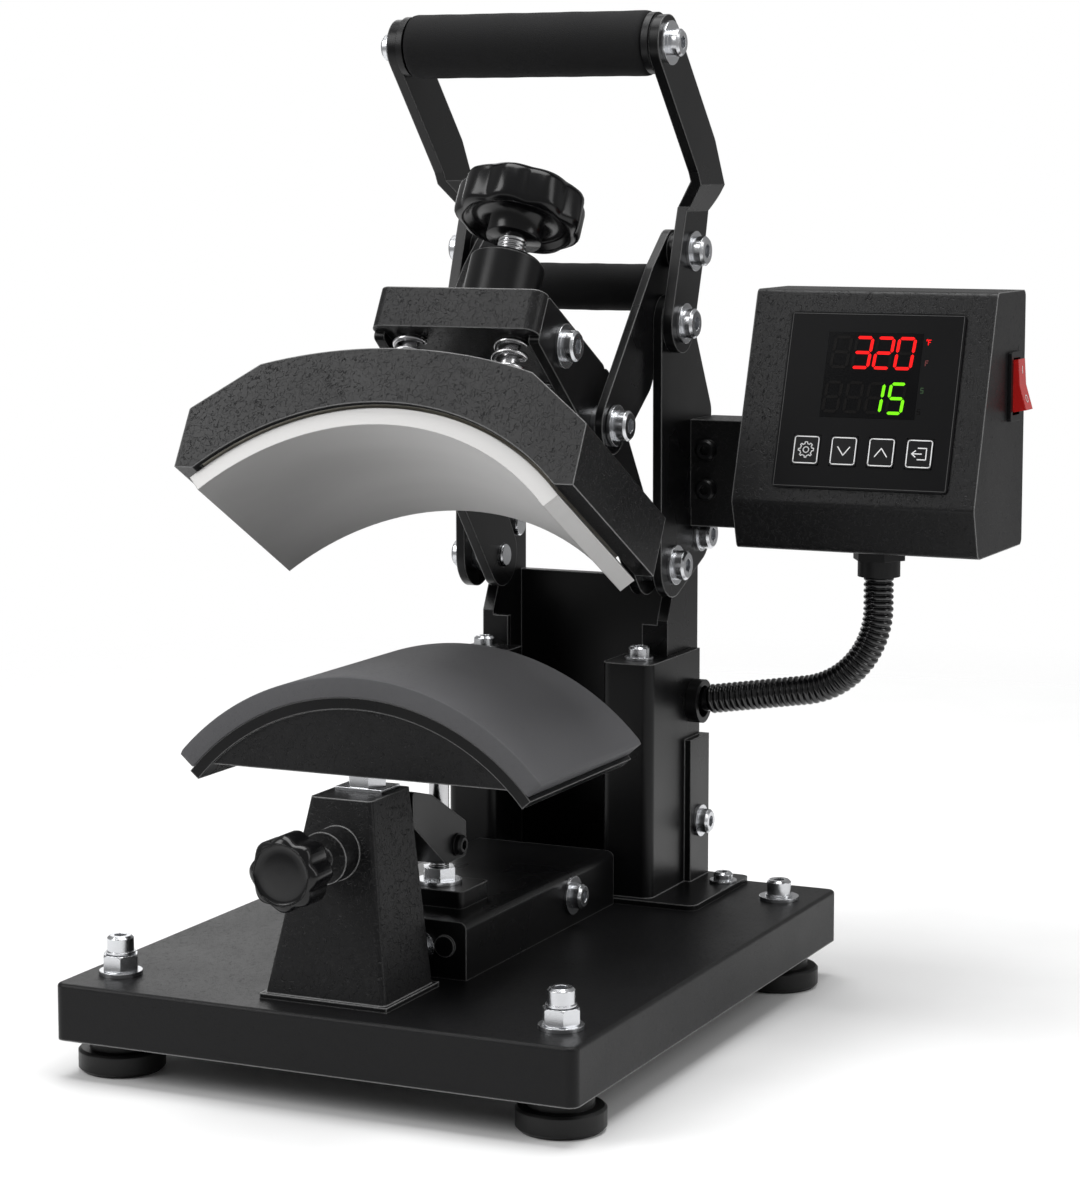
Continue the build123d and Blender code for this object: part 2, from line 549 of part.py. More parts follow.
def clamp():
    tip = STEM_Y - STEM_R - 0.1
    add("clamp_screw", rod_y(0, CLAMP_FRONT + 8, tip, CLAMP_Z, 4))
    knob = lobed_knob(CLAMP_KNOB_R, 0, CLAMP_BACK - CLAMP_FRONT, 8, 4)
    add("clamp_knob", Pos(0, CLAMP_BACK, CLAMP_Z) * Rot(90, 0, 0) * knob)


def channel_and_rod():
    w, y0, y1, top = CHANNEL_HALF_W, CHANNEL_FRONT, CHANNEL_REAR, CHANNEL_TOP
    body = block(-w, w, y0, y1, 0, top)
    body = fillet(body.edges().filter_by(Axis.Y).sort_by(Axis.Z)[-2:], 3)
    body -= block(-w + 3, w - 3, y0 + 3, y1 - 3, -1, top - 3)
    body -= rod_y(12.7, y0 - 5, y0 + 5, 12, 3 + FIT)
    body += rod_y(24, y0 - 1.2, y0 + 1, 13, 4.2)
    body -= rod_x(-60, 60, 32, 13, 3 + FIT)
    add("pad_channel", body)
    front_bolt = bolt(3, 6, head_r=4.8, head_h=4.4, flange_r=7, flange_h=1.4)
    add("frame_screws", Pos(12.7, y0, 12) * Rot(90, 0, 0) * front_bolt)
    add("frame_screws", *bolts_x(w, 32, 13, 3, 6, head_r=5.2, head_h=4.6, flange_r=8, flange_h=1.4))
    seat = block(-14, 22, -48, -24, top, top + 7)
    seat = fillet(seat.edges().filter_by(Axis.Z), 2)
    add("rod_seat", seat - rod_z(ROD_X, ROD_Y, 0, 99, ROD_R + FIT))
    add("guide_rod", rod_z(ROD_X, ROD_Y, top, WEB_LOW + 3, ROD_R))
    hole = rod_z(ROD_X, ROD_Y, 0, 99, ROD_R + FIT)
    washer = rod_z(ROD_X, ROD_Y, top + 7, top + 8.6, 9)
    nut = Pos(ROD_X, ROD_Y, top + 8.6) * extrude(RegularPolygon(7, 6), 5)
    add("pad_nuts", washer + nut - hole)
    front, rear, low = POST_REAR + 0.1, STRAP_REAR, STRAP_LOW
    side = Polygon((front, 74), (-58, 70), (rear, 54), (rear, low), (-46, low), (front, 60), align=None)
    strap = plate(side, ROD_X - STRAP_HALF_W, ROD_X + STRAP_HALF_W)
    strap = fillet(strap.edges().filter_by(Axis.X), 1.5)
    strap -= rod_x(ROD_X, 60, ROD_Y, 46, 2 + FIT)
    add("rod_strap", strap - hole)
    screw = bolt(2.0, 0.5, head_r=4.0, head_h=2.6, flange_r=4.6, flange_h=0.6)
    add("box_screws", Pos(ROD_X + STRAP_HALF_W, ROD_Y, 46) * Rot(0, 90, 0) * screw)


# ---- control box ------------------------------------------------------------------
PANEL_X, PANEL_W, PANEL_LOW, PANEL_HIGH, PANEL_T = 135.0, 76.0, 6.6, 82.0, 0.8
DISPLAY_W, DISPLAY_LOW, DISPLAY_HIGH = 41.0, 37.0, 73.5
KEY_W, KEY_H, KEY_V, KEY_STEP, KEY_T = 11.4, 12.6, 22.7, 16.3, 0.7
KEY_TRAVEL = 0.35
SWITCH_Y, SWITCH_Z, SWITCH_HALF_W, SWITCH_HALF_H = 141.0, 221.0, 7.5, 14.5
ROCKER_TILT = -10.0
ROCKER_PIN_R, ROCKER_PIN_HALF = 1.5, 5.5


def slope_plane():
    low, top = BOX_SIDE[4], BOX_SIDE[0]
    rise = Vector(0, top[0] - low[0], top[1] - low[1]).normalized()
    return Plane(origin=(PANEL_X, low[0], low[1]), x_dir=(1, 0, 0), z_dir=Vector(1, 0, 0).cross(rise))


def on_slope(w, v0, v1, low, high, x=0.0, round_r=0.0):
    """A slab on the sloped front: v runs up the slope and low/high out from it."""
    flat = RectangleRounded(w, v1 - v0, round_r) if round_r else Rectangle(w, v1 - v0)
    return slope_plane() * Pos(x, (v0 + v1) / 2, low) * extrude(flat, high - low)


def key_places():
    return [(i - 1.5) * KEY_STEP for i in range(4)]


def control_box():
    outline = Polygon(*BOX_SIDE, align=None)
    outer = plate(outline, BOX_X0, BOX_X1)
    outer = fillet(outer.edges().filter_by(Axis.X), 3)
    inner = plate(offset(outline, -SHEET, kind=Kind.INTERSECTION), BOX_X0 + SHEET, BOX_X1 - SHEET)
    rear_y, low_z, top_z = BOX_SIDE[2][0], BOX_SIDE[2][1], BOX_SIDE[1][1]
    mouth = block(BOX_X0 + SHEET, BOX_X1 - SHEET, rear_y - 12, rear_y + 1, low_z + SHEET, top_z - SHEET)
    shell = outer - inner - mouth
    shell -= on_slope(DISPLAY_W - 4, DISPLAY_LOW + 2, DISPLAY_HIGH - 2, -5, 5)
    shell -= block(BOX_X1 - 5, BOX_X1 + 5, SWITCH_Y - SWITCH_HALF_W + 1.5, SWITCH_Y + SWITCH_HALF_W - 1.5,
                   SWITCH_Z - SWITCH_HALF_H + 1.5, SWITCH_Z + SWITCH_HALF_H - 1.5)
    shell -= rod_z(CONDUIT_TOP[0], CONDUIT_Y, low_z - 5, low_z + 5, 8 + FIT)
    add("control_shell", shell)
    rim = SHEET + 0.2
    back = block(BOX_X0 + rim, BOX_X1 - rim, rear_y - SHEET, rear_y, low_z + rim, top_z - rim)
    screw = bolt(1.5, SHEET, head_r=2.6, head_h=1.6, flange_r=3, flange_h=0.4)
    for x in (BOX_X0 + 9, BOX_X1 - 9):
        for z in (low_z + 9, top_z - 9):
            back -= rod_y(x, rear_y - 9, rear_y + 9, z, 1.5 + FIT)
            add("box_screws", Pos(x, rear_y, z) * Rot(-90, 0, 0) * screw)
    add("control_back", back)


def control_face():
    panel = on_slope(PANEL_W, PANEL_LOW, PANEL_HIGH, 0, PANEL_T, round_r=2)
    panel -= on_slope(DISPLAY_W + 0.1, DISPLAY_LOW - 0.05, DISPLAY_HIGH + 0.05, -1, 2)
    for x in key_places():
        panel -= on_slope(KEY_W + 0.5, KEY_V - KEY_H / 2 - 0.25, KEY_V + KEY_H / 2 + 0.25, -1, 2, x)
    add("membrane_panel", panel)
    add("display_window", on_slope(DISPLAY_W, DISPLAY_LOW, DISPLAY_HIGH, 0, PANEL_T + 0.1))
    for i, x in enumerate(key_places(), 1):
        low = KEY_TRAVEL + 0.1
        add(f"key_{i}", on_slope(KEY_W, KEY_V - KEY_H / 2, KEY_V + KEY_H / 2, low, low + KEY_T, x, 1.0))
    add("circuit_board", on_slope(84, 8, 82, -12, -10.4))
    add("circuit_board", on_slope(DISPLAY_W - 5, DISPLAY_LOW + 3, DISPLAY_HIGH - 3, -10.4, -0.1))
    for x in (-38, 38):
        for v in (12, 78):
            add("circuit_board", slope_plane() * Pos(x, v) * rod_z(0, 0, -10.4, -SHEET, 2.5))


def power_switch():
    x, y, z, w, h = BOX_X1, SWITCH_Y, SWITCH_Z, SWITCH_HALF_W, SWITCH_HALF_H
    bezel = block(x, x + 1.6, y - w, y + w, z - h, z + h)
    bezel = fillet(bezel.edges().filter_by(Axis.X), 1.5)
    body = block(x - 16, x, y - w + 1.6, y + w - 1.6, z - h + 1.6, z + h - 1.6)
    room = block(x - 13, x + 5, y - w + 2.6, y + w - 2.6, z - h + 2.6, z + h - 2.6)
    pin_hole = rod_y(x, y - ROCKER_PIN_HALF - FIT, y + ROCKER_PIN_HALF + FIT, z, ROCKER_PIN_R + FIT)
    add("switch_frame", bezel + body - room - pin_hole)
    half = w - 2.6 - 0.15
    tall = h - 2.6
    profile = Polygon((-6, -4), (0, -tall + 1.2), (5.6, -tall + 1.2), (4.4, 0), (5.6, tall - 1.2),
                      (0, tall - 1.2), (-6, 4), align=None)
    rocker = Pos(x, 0, z) * Rot(0, ROCKER_TILT, 0) * section(profile, y - half, y + half)
    rocker += rod_y(x, y - ROCKER_PIN_HALF, y + ROCKER_PIN_HALF, z, ROCKER_PIN_R)
    add("rocker", rocker)


def gland_and_conduit():
    x, top = CONDUIT_TOP
    low_z = BOX_SIDE[2][1]
    y = CONDUIT_Y
    hexagon = extrude(Pos(x, y, low_z - 6) * RegularPolygon(11.5, 6), 6)
    gland = hexagon + rod_z(x, y, low_z - 13, low_z - 6, 9) + rod_z(x, y, low_z - 6, low_z + 6, 8)
    add("conduit_gland", gland - rod_z(x, y, low_z - 20, low_z + 20, CONDUIT_R + FIT))
    locknut = extrude(Pos(x, y, low_z + SHEET) * RegularPolygon(11.5, 6), 3.5)
    add("conduit_fittings", locknut - rod_z(x, y, low_z, low_z + 20, 8 + FIT))
    end_x, end_z = CONDUIT_END
    points = [(x, y, top), (CONDUIT_CORNER[0], y, CONDUIT_CORNER[1]), (end_x, y, end_z)]
    path = FilletPolyline(*points, radius=CONDUIT_BEND)
    print_gap("conduit", path, CONDUIT_R, pi * CONDUIT_R)
    add("conduit", ribbed_tube(path))
    bush = rod_x(COVER_X1, COVER_X1 + 5, y, end_z + 0.3, 9.5)
    add("conduit_fittings", bush - rod_x(0, 90, y, end_z + 0.3, CONDUIT_R + 0.45))


def ribbed_tube(path):
    """Ribs along a bent tube, each a ring of four circles, over one bore."""
    groove = CONDUIT_R - 1.2
    plain = 2 * CONDUIT_R
    count = int((path.length - 2 * plain) / RIB_PITCH)
    start = Plane(path.position_at(0), z_dir=path.tangent_at(0))
    tube = sweep(start * Circle(groove), path)
    steps = ((0, groove - 0.2), (0.35, CONDUIT_R), (1.15, CONDUIT_R), (1.5, groove - 0.2))
    ribs = []
    for i in range(count):
        along = plain + i * RIB_PITCH
        rings = []
        for step, r in steps:
            spot = (along + step) / path.length
            plane = Plane(path.position_at(spot), x_dir=(0, 1, 0), z_dir=path.tangent_at(spot))
            rings.append(plane * Circle(r))
        ribs.append(loft(rings, ruled=True))
    tube = tube.fuse(*ribs)
    return tube - sweep(start * Circle(CONDUIT_BORE), path)


def control_bracket():
    x0, x1 = CHEEK_X + CHEEK_T, BOX_X0
    y0, y1, z0, z1 = 122.0, 148.0, 158.0, 204.0
    front = block(x0 + GAP, x1, y0, y0 + 2.5, z0, z1)
    left = block(x0, x0 + 2.5, y0, y1, z0 + 8, z1)
    right = block(x1 - 2.5, x1, y0, y1, z0, z1)
    top = block(x0, x1, y0, y1, z1 - 2.5, z1)
    bracket = front + left + right + top
    places = [(56.0, 174.0), (56.0, 191.0)]
    for x, z in places:
        bracket -= rod_y(x, y0 - 5, y0 + 5, z, 2.5 + FIT)
        screw = bolt(2.5, 8, head_r=4.6, head_h=3.0, flange_r=4.8, flange_h=0.4)
        add("box_screws", Pos(x, y0, z) * Rot(90, 0, 0) * screw)
        nut = Pos(x, y0 + 2.5, z) * Rot(-90, 0, 0) * extrude(RegularPolygon(4.6, 6), 4)
        add("box_screws", nut - rod_y(x, 0, 200, z, 2.5 + FIT))
    add("control_bracket", bracket)


for build in (base_plate, feet_and_bolts, mast, covers, flange_screws, tower, press_arm, bridge,
              springs_and_guides, platen, pressure_screw, link, handle, pad, front_post, clamp,
              channel_and_rod, control_box, control_face, power_switch, gland_and_conduit, control_bracket):
    build()

boxes = [s.bounding_box() for solids in SOLIDS.values() for s in solids]
low = [min(getattr(b.min, k) for b in boxes) for k in "XYZ"]
high = [max(getattr(b.max, k) for b in boxes) for k in "XYZ"]
SHIFT = (-(low[0] + high[0]) / 2, -(low[1] + high[1]) / 2, -low[2])
print("size", [round(h - l, 1) for l, h in zip(low, high)], "shift", [round(v, 3) for v in SHIFT])
for name, solids in SOLIDS.items():
    moved = [Pos(*SHIFT) * s for s in solids]
    shape = moved[0] if len(moved) == 1 else Compound(children=moved)
    export_step(shape, f"parts/{name}.step")
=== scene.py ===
# %% [markdown]
# # A cap heat press
# A lever swings a curved heated platen down on a curved silicone pad. The steel
# parts keep their construction shapes and get finishes here. The soft and turned
# parts, such as the pad, grips, springs, threads and knobs, are made again as
# smooth surfaces from formulas, because their construction shapes are faceted.

# %% Load the frame
import bpy
import json
import math
import numpy as np
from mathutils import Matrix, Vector


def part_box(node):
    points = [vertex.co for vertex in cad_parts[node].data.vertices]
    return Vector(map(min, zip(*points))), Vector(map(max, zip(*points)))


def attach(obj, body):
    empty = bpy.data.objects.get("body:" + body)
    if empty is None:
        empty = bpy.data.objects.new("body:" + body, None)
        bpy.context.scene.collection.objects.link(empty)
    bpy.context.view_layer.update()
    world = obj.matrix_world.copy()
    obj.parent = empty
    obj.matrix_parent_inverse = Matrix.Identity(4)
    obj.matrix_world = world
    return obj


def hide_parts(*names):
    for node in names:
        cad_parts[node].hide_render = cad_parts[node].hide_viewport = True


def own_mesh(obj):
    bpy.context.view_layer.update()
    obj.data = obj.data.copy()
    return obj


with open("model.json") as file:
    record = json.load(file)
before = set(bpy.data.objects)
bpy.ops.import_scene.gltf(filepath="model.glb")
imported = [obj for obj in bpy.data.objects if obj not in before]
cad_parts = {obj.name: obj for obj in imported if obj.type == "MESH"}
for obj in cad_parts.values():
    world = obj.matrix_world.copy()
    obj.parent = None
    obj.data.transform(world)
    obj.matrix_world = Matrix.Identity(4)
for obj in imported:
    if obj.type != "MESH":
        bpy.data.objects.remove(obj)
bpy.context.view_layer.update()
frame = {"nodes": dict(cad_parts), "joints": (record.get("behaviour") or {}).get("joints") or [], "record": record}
NODES = frame["nodes"]
JOINTS = {joint["name"]: joint for joint in frame["joints"]}

# %% [markdown]
# ## The camera
# The picture was taken from low on the right with a long lens, so the verticals
# stay nearly upright. Its place is measured from the middle of the press, and the
# lens comes from how fast the base plate narrows towards the back.

# %% Place the camera
plate_low, plate_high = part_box("base_plate")
MID_X = (plate_low.x + plate_high.x) / 2
TOP_Z = plate_high.z
REAR_Y = plate_high.y
PRESS = Vector((MID_X, REAR_Y - 0.142, TOP_Z))
CAMERA_FROM_PRESS = Vector((0.5614, -1.1448, 0.3134))
VIEW_YAW, VIEW_PITCH = 24.76, 7.0
LENS, FRAME_WIDTH, RISE_SHIFT = 106.275, 36.0, -0.0344

camera_data = bpy.data.cameras.new("camera")
camera_data.lens = LENS
camera_data.sensor_fit = "HORIZONTAL"
camera_data.sensor_width = FRAME_WIDTH
camera_data.shift_y = RISE_SHIFT
camera = bpy.data.objects.new("camera", camera_data)
camera.location = PRESS + CAMERA_FROM_PRESS
camera.rotation_euler = (math.radians(90 - VIEW_PITCH), 0, math.radians(VIEW_YAW))
bpy.context.scene.collection.objects.link(camera)
bpy.context.scene.camera = camera
print("camera at", [round(v, 3) for v in camera.location])

# %% [markdown]
# ## Surfaces from grids
# Each new piece is a grid of points. One direction runs along the piece and the
# other runs round it. Joining neighbours gives quads, which shade smoothly, and
# end caps close the surface so that it has an inside.


# %% Turn a grid of points into a mesh
def grid_piece(name, points, body, around=True, along=False, caps=True, smooth=True):
    """points is (rows, columns, 3). Columns close round the piece, and rows may close too."""
    points = np.asarray(points, float)
    rows, columns = points.shape[:2]
    row = np.arange(rows if along else rows - 1)
    column = np.arange(columns if around else columns - 1)
    i, j = np.meshgrid(row, column, indexing="ij")
    i2, j2 = (i + 1) % rows, (j + 1) % columns
    faces = np.stack([i * columns + j, i * columns + j2, i2 * columns + j2, i2 * columns + j], -1).reshape(-1, 4).tolist()
    if caps and around and not along:
        faces.append(list(range(columns))[::-1])
        faces.append(list(range((rows - 1) * columns, rows * columns)))
    mesh = bpy.data.meshes.new(name)
    mesh.from_pydata(points.reshape(-1, 3).tolist(), [], faces)
    mesh.validate()
    return finish_piece(name, mesh, body, smooth)


def finish_piece(name, mesh, body, smooth=True):
    """Links a mesh, turns its faces outwards and lets it move with a body."""
    import bmesh
    work = bmesh.new()
    work.from_mesh(mesh)
    bmesh.ops.remove_doubles(work, verts=work.verts, dist=1e-7)
    bmesh.ops.recalc_face_normals(work, faces=work.faces)
    work.to_mesh(mesh)
    work.free()
    mesh.polygons.foreach_set("use_smooth", [smooth] * len(mesh.polygons))
    piece = bpy.data.objects.new(name, mesh)
    bpy.context.scene.collection.objects.link(piece)
    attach(piece, body)
    return piece


def circle(count):
    """Angles round a turn, as cosines and sines."""
    a = np.linspace(0, 2 * np.pi, count, endpoint=False)
    return np.cos(a), np.sin(a)


def frame_of(axis):
    """Two unit vectors square to an axis."""
    axis = np.asarray(axis, float) / np.linalg.norm(axis)
    side = np.cross(axis, (0.0, 0.0, 1.0))
    if np.linalg.norm(side) < 1e-6:
        side = np.array((1.0, 0.0, 0.0))
    side = side / np.linalg.norm(side)
    return axis, side, np.cross(axis, side)


def turned(name, base, axis, profile, body, count=72, lobes=0, depth=0.0, deep_from=0.0):
    """A turned piece: profile rows are (radius, distance) from base along axis.
    With lobes, each radius past deep_from gets a smooth wave of that depth."""
    axis, side, up = frame_of(axis)
    profile = np.asarray(profile, float)
    a = np.linspace(0, 2 * np.pi, count, endpoint=False)
    wave = (0.5 + 0.5 * np.cos(a * lobes)) ** 0.7 if lobes else np.ones(count)
    radius = profile[:, :1] * np.ones((1, count))
    if lobes:
        outer = np.clip((profile[:, :1] - deep_from) / max(profile[:, 0].max() - deep_from, 1e-9), 0, 1)
        radius = radius - depth * outer * (1 - wave)
    ring = radius[..., None] * (np.cos(a)[:, None] * side + np.sin(a)[:, None] * up)
    points = np.asarray(base, float) + profile[:, 1][:, None, None] * axis + ring
    return grid_piece(name, points, body)


def path_frames(path):
    """Tangent, side and up vectors along a path, with the side kept steady."""
    path = np.asarray(path, float)
    tangent = np.gradient(path, axis=0)
    tangent /= np.linalg.norm(tangent, axis=1)[:, None]
    guide = np.array((0.0, 1.0, 0.0))
    side = np.cross(tangent, guide)
    side /= np.linalg.norm(side, axis=1)[:, None]
    return tangent, side, np.cross(tangent, side)


# %% [markdown]
# ## Tilted pieces
# The press arm is drawn level in its closed pose and stands open at rest. Points
# given for the closed pose are turned back about the hinge, so that the springs
# and the screw keep simple upright sizes.

# %% Turn closed-pose points to the open pose
HINGE = np.array(JOINTS["arm_hinge"]["pos_m"], float)
OPEN_ANGLE = math.radians(JOINTS["arm_hinge"]["range_deg"][1])
HINGE_Y, HINGE_Z = 0.1041, 0.1431


def tilted(points):
    """Turns (x, y, z) points of the closed press, in metres from the plate's top, about the hinge."""
    points = np.asarray(points, float)
    y, z = points[..., 1] - HINGE_Y, points[..., 2] - HINGE_Z
    c, s = math.cos(-OPEN_ANGLE), math.sin(-OPEN_ANGLE)
    out = np.empty_like(points)
    out[..., 0] = points[..., 0] + MID_X
    out[..., 1] = HINGE[1] + y * c - z * s
    out[..., 2] = HINGE[2] + y * s + z * c
    return out


PLATEN_UP = np.array(JOINTS["platen_feed"]["axis"], float)
print("platen axis", PLATEN_UP.round(4))

# %% [markdown]
# ## Finishes
# A finish is a small node tree. Things that many finishes share, such as fine
# grain, blotches and creases, are node groups with named inputs, so each finish
# only chooses its own values. All patterns use object coordinates in metres.


# %% Node helpers
def new_group(name, inputs, outputs):
    tree = bpy.data.node_groups.new(name, "ShaderNodeTree")
    for label, kind, value in inputs:
        socket = tree.interface.new_socket(label, in_out="INPUT", socket_type=kind)
        if value is not None:
            socket.default_value = value
    for label, kind in outputs:
        tree.interface.new_socket(label, in_out="OUTPUT", socket_type=kind)
    return tree, tree.nodes.new("NodeGroupInput"), tree.nodes.new("NodeGroupOutput")


def math_node(tree, operation, a, b=None, clamp=False):
    node = tree.nodes.new("ShaderNodeMath")
    node.operation = operation
    node.use_clamp = clamp
    for slot, value in zip(node.inputs, (a, b)):
        if value is None:
            continue
        if isinstance(value, (int, float)):
            slot.default_value = value
        else:
            tree.links.new(value, slot)
    return node.outputs[0]


def map_range(tree, value, low, high, to_low, to_high):
    node = tree.nodes.new("ShaderNodeMapRange")
    tree.links.new(value, node.inputs["Value"])
    for label, number in (("From Min", low), ("From Max", high), ("To Min", to_low), ("To Max", to_high)):
        node.inputs[label].default_value = number
    return node.outputs["Result"]


# %% Fine grain, shared by every finish
GRAIN, grain_in, grain_out = new_group(
    "fine grain", [("Vector", "NodeSocketVector", None), ("Size", "NodeSocketFloat", 2000.0)],
    [("Height", "NodeSocketFloat"), ("Blotch", "NodeSocketFloat")])
fine = GRAIN.nodes.new("ShaderNodeTexNoise")
fine.inputs["Detail"].default_value = 4.0
GRAIN.links.new(grain_in.outputs["Vector"], fine.inputs["Vector"])
GRAIN.links.new(grain_in.outputs["Size"], fine.inputs["Scale"])
broad = GRAIN.nodes.new("ShaderNodeTexNoise")
broad.inputs["Scale"].default_value = 22.0
broad.inputs["Detail"].default_value = 3.0
GRAIN.links.new(grain_in.outputs["Vector"], broad.inputs["Vector"])
GRAIN.links.new(fine.outputs["Fac"], grain_out.inputs["Height"])
GRAIN.links.new(broad.outputs["Fac"], grain_out.inputs["Blotch"])

# %% [markdown]
# The textured powder coat looks like fine leather, with short worm-like creases.
# A crease follows the line where a bent noise passes its middle value, so it
# wanders and closes on itself. A second, wider noise breaks the lines up.

# %% Leather-like creases of a textured coat
CREASE, crease_in, crease_out = new_group(
    "coat creases", [("Vector", "NodeSocketVector", None), ("Cells", "NodeSocketFloat", 420.0)],
    [("Height", "NodeSocketFloat"), ("Crease", "NodeSocketFloat")])
worm = CREASE.nodes.new("ShaderNodeTexNoise")
worm.inputs["Detail"].default_value = 1.0
worm.inputs["Distortion"].default_value = 0.9
CREASE.links.new(crease_in.outputs["Vector"], worm.inputs["Vector"])
CREASE.links.new(crease_in.outputs["Cells"], worm.inputs["Scale"])
patch = CREASE.nodes.new("ShaderNodeTexNoise")
patch.inputs["Scale"].default_value = 420.0
CREASE.links.new(crease_in.outputs["Vector"], patch.inputs["Vector"])
away = math_node(CREASE, "ABSOLUTE", math_node(CREASE, "SUBTRACT", worm.outputs["Fac"], 0.5))
line = map_range(CREASE, away, 0.0, 0.03, 1.0, 0.0)
broken = math_node(CREASE, "MULTIPLY", line, map_range(CREASE, patch.outputs["Fac"], 0.4, 0.55, 0.1, 1.0))
CREASE.links.new(broken, crease_out.inputs["Crease"])
CREASE.links.new(math_node(CREASE, "SUBTRACT", 1.0, broken), crease_out.inputs["Height"])

# %% [markdown]
# The edges get a painted highlight: near an edge the colour is mixed towards a light
# grey. The rounded normal of a Bevel node leaves the face's own normal only near an
# edge, so the turn between the two is a mask of the edges.

# %% Rounded edges and a painted edge highlight
EDGE, edge_in, edge_out = new_group(
    "rounded edge and painted highlight", [("Radius", "NodeSocketFloat", 0.0008)],
    [("Normal", "NodeSocketVector"), ("Painted highlight", "NodeSocketFloat")])
rounded = EDGE.nodes.new("ShaderNodeBevel")
rounded.samples = 6
EDGE.links.new(edge_in.outputs["Radius"], rounded.inputs["Radius"])
turn = EDGE.nodes.new("ShaderNodeVectorMath")
turn.operation = "DOT_PRODUCT"
EDGE.links.new(rounded.outputs["Normal"], turn.inputs[0])
EDGE.links.new(EDGE.nodes.new("ShaderNodeNewGeometry").outputs["Normal"], turn.inputs[1])
EDGE.links.new(rounded.outputs["Normal"], edge_out.inputs["Normal"])
EDGE.links.new(map_range(EDGE, turn.outputs["Value"], 0.995, 0.88, 0.0, 1.0), edge_out.inputs["Painted highlight"])


# %% A finish from a few values
def finish(name, colour, rough, spread=0.06, grain=2000.0, bump=0.15, metal=0.0, coat=0.0, tint=0.25,
           creases=None, round_edge=0.0, streak=None, specular=0.5, painted_edge_highlight=0.0):
    """A finish whose colour and roughness drift, with grain, creases or streaks in its surface.
    tint is how far the colour drifts, and spread how far the roughness does. The last
    argument is a grey mixed into the colour near each edge: a painted highlight."""
    material = bpy.data.materials.new(name)
    material.use_nodes = True
    tree = material.node_tree
    shader = tree.nodes["Principled BSDF"]
    place = tree.nodes.new("ShaderNodeTexCoord").outputs["Object"]
    if streak:
        mapping = tree.nodes.new("ShaderNodeMapping")
        mapping.inputs["Scale"].default_value = streak
        tree.links.new(place, mapping.inputs["Vector"])
        place = mapping.outputs["Vector"]
    noise = tree.nodes.new("ShaderNodeGroup")
    noise.node_tree = GRAIN
    noise.inputs["Size"].default_value = grain
    tree.links.new(place, noise.inputs["Vector"])
    height, blotch = noise.outputs["Height"], noise.outputs["Blotch"]
    mix = tree.nodes.new("ShaderNodeMix")
    mix.data_type = "RGBA"
    dark = tuple(c * (1 - tint) for c in colour)
    light = tuple(min(c * (1 + tint), 1.0) for c in colour)
    mix.inputs["A"].default_value = (*dark, 1)
    mix.inputs["B"].default_value = (*light, 1)
    tree.links.new(map_range(tree, blotch, 0.3, 0.7, 0.0, 1.0), mix.inputs["Factor"])
    tree.links.new(mix.outputs["Result"], shader.inputs["Base Color"])
    rough_socket = map_range(tree, blotch, 0.3, 0.7, rough - spread, rough + spread)
    if creases:
        crease = tree.nodes.new("ShaderNodeGroup")
        crease.node_tree = CREASE
        crease.inputs["Cells"].default_value = creases
        tree.links.new(tree.nodes.new("ShaderNodeTexCoord").outputs["Object"], crease.inputs["Vector"])
        fine_part = math_node(tree, "MULTIPLY", height, 0.25)
        height = math_node(tree, "ADD", crease.outputs["Height"], fine_part)
        rough_socket = math_node(tree, "ADD", rough_socket, math_node(tree, "MULTIPLY", crease.outputs["Crease"], 0.12), True)
    tree.links.new(rough_socket, shader.inputs["Roughness"])
    relief = tree.nodes.new("ShaderNodeBump")
    relief.inputs["Strength"].default_value = bump
    relief.inputs["Distance"].default_value = 0.0004
    tree.links.new(height, relief.inputs["Height"])
    if round_edge:
        edge = tree.nodes.new("ShaderNodeGroup")
        edge.node_tree = EDGE
        edge.inputs["Radius"].default_value = round_edge
        tree.links.new(edge.outputs["Normal"], relief.inputs["Normal"])
        if painted_edge_highlight:
            # Near an edge the colour is mixed towards a light grey: a painted highlight.
            painted_highlight = tree.nodes.new("ShaderNodeMix")
            painted_highlight.data_type = "RGBA"
            tree.links.new(mix.outputs["Result"], painted_highlight.inputs["A"])
            painted_highlight.inputs["B"].default_value = (painted_edge_highlight, painted_edge_highlight, painted_edge_highlight, 1)
            tree.links.new(edge.outputs["Painted highlight"], painted_highlight.inputs["Factor"])
            tree.links.new(painted_highlight.outputs["Result"], shader.inputs["Base Color"])
    tree.links.new(relief.outputs["Normal"], shader.inputs["Normal"])
    shader.inputs["Metallic"].default_value = metal
    shader.inputs["Coat Weight"].default_value = coat
    shader.inputs["Coat Roughness"].default_value = 0.08
    shader.inputs["Specular IOR Level"].default_value = specular
    return material


# %% [markdown]
# ## The press's finishes
# The front faces wear a textured black coat and the sides a smooth satin one.
# The fasteners are bright zinc, the heating plate is brushed along its length,
# and the pad is dark grey silicone with a dry, even grain.

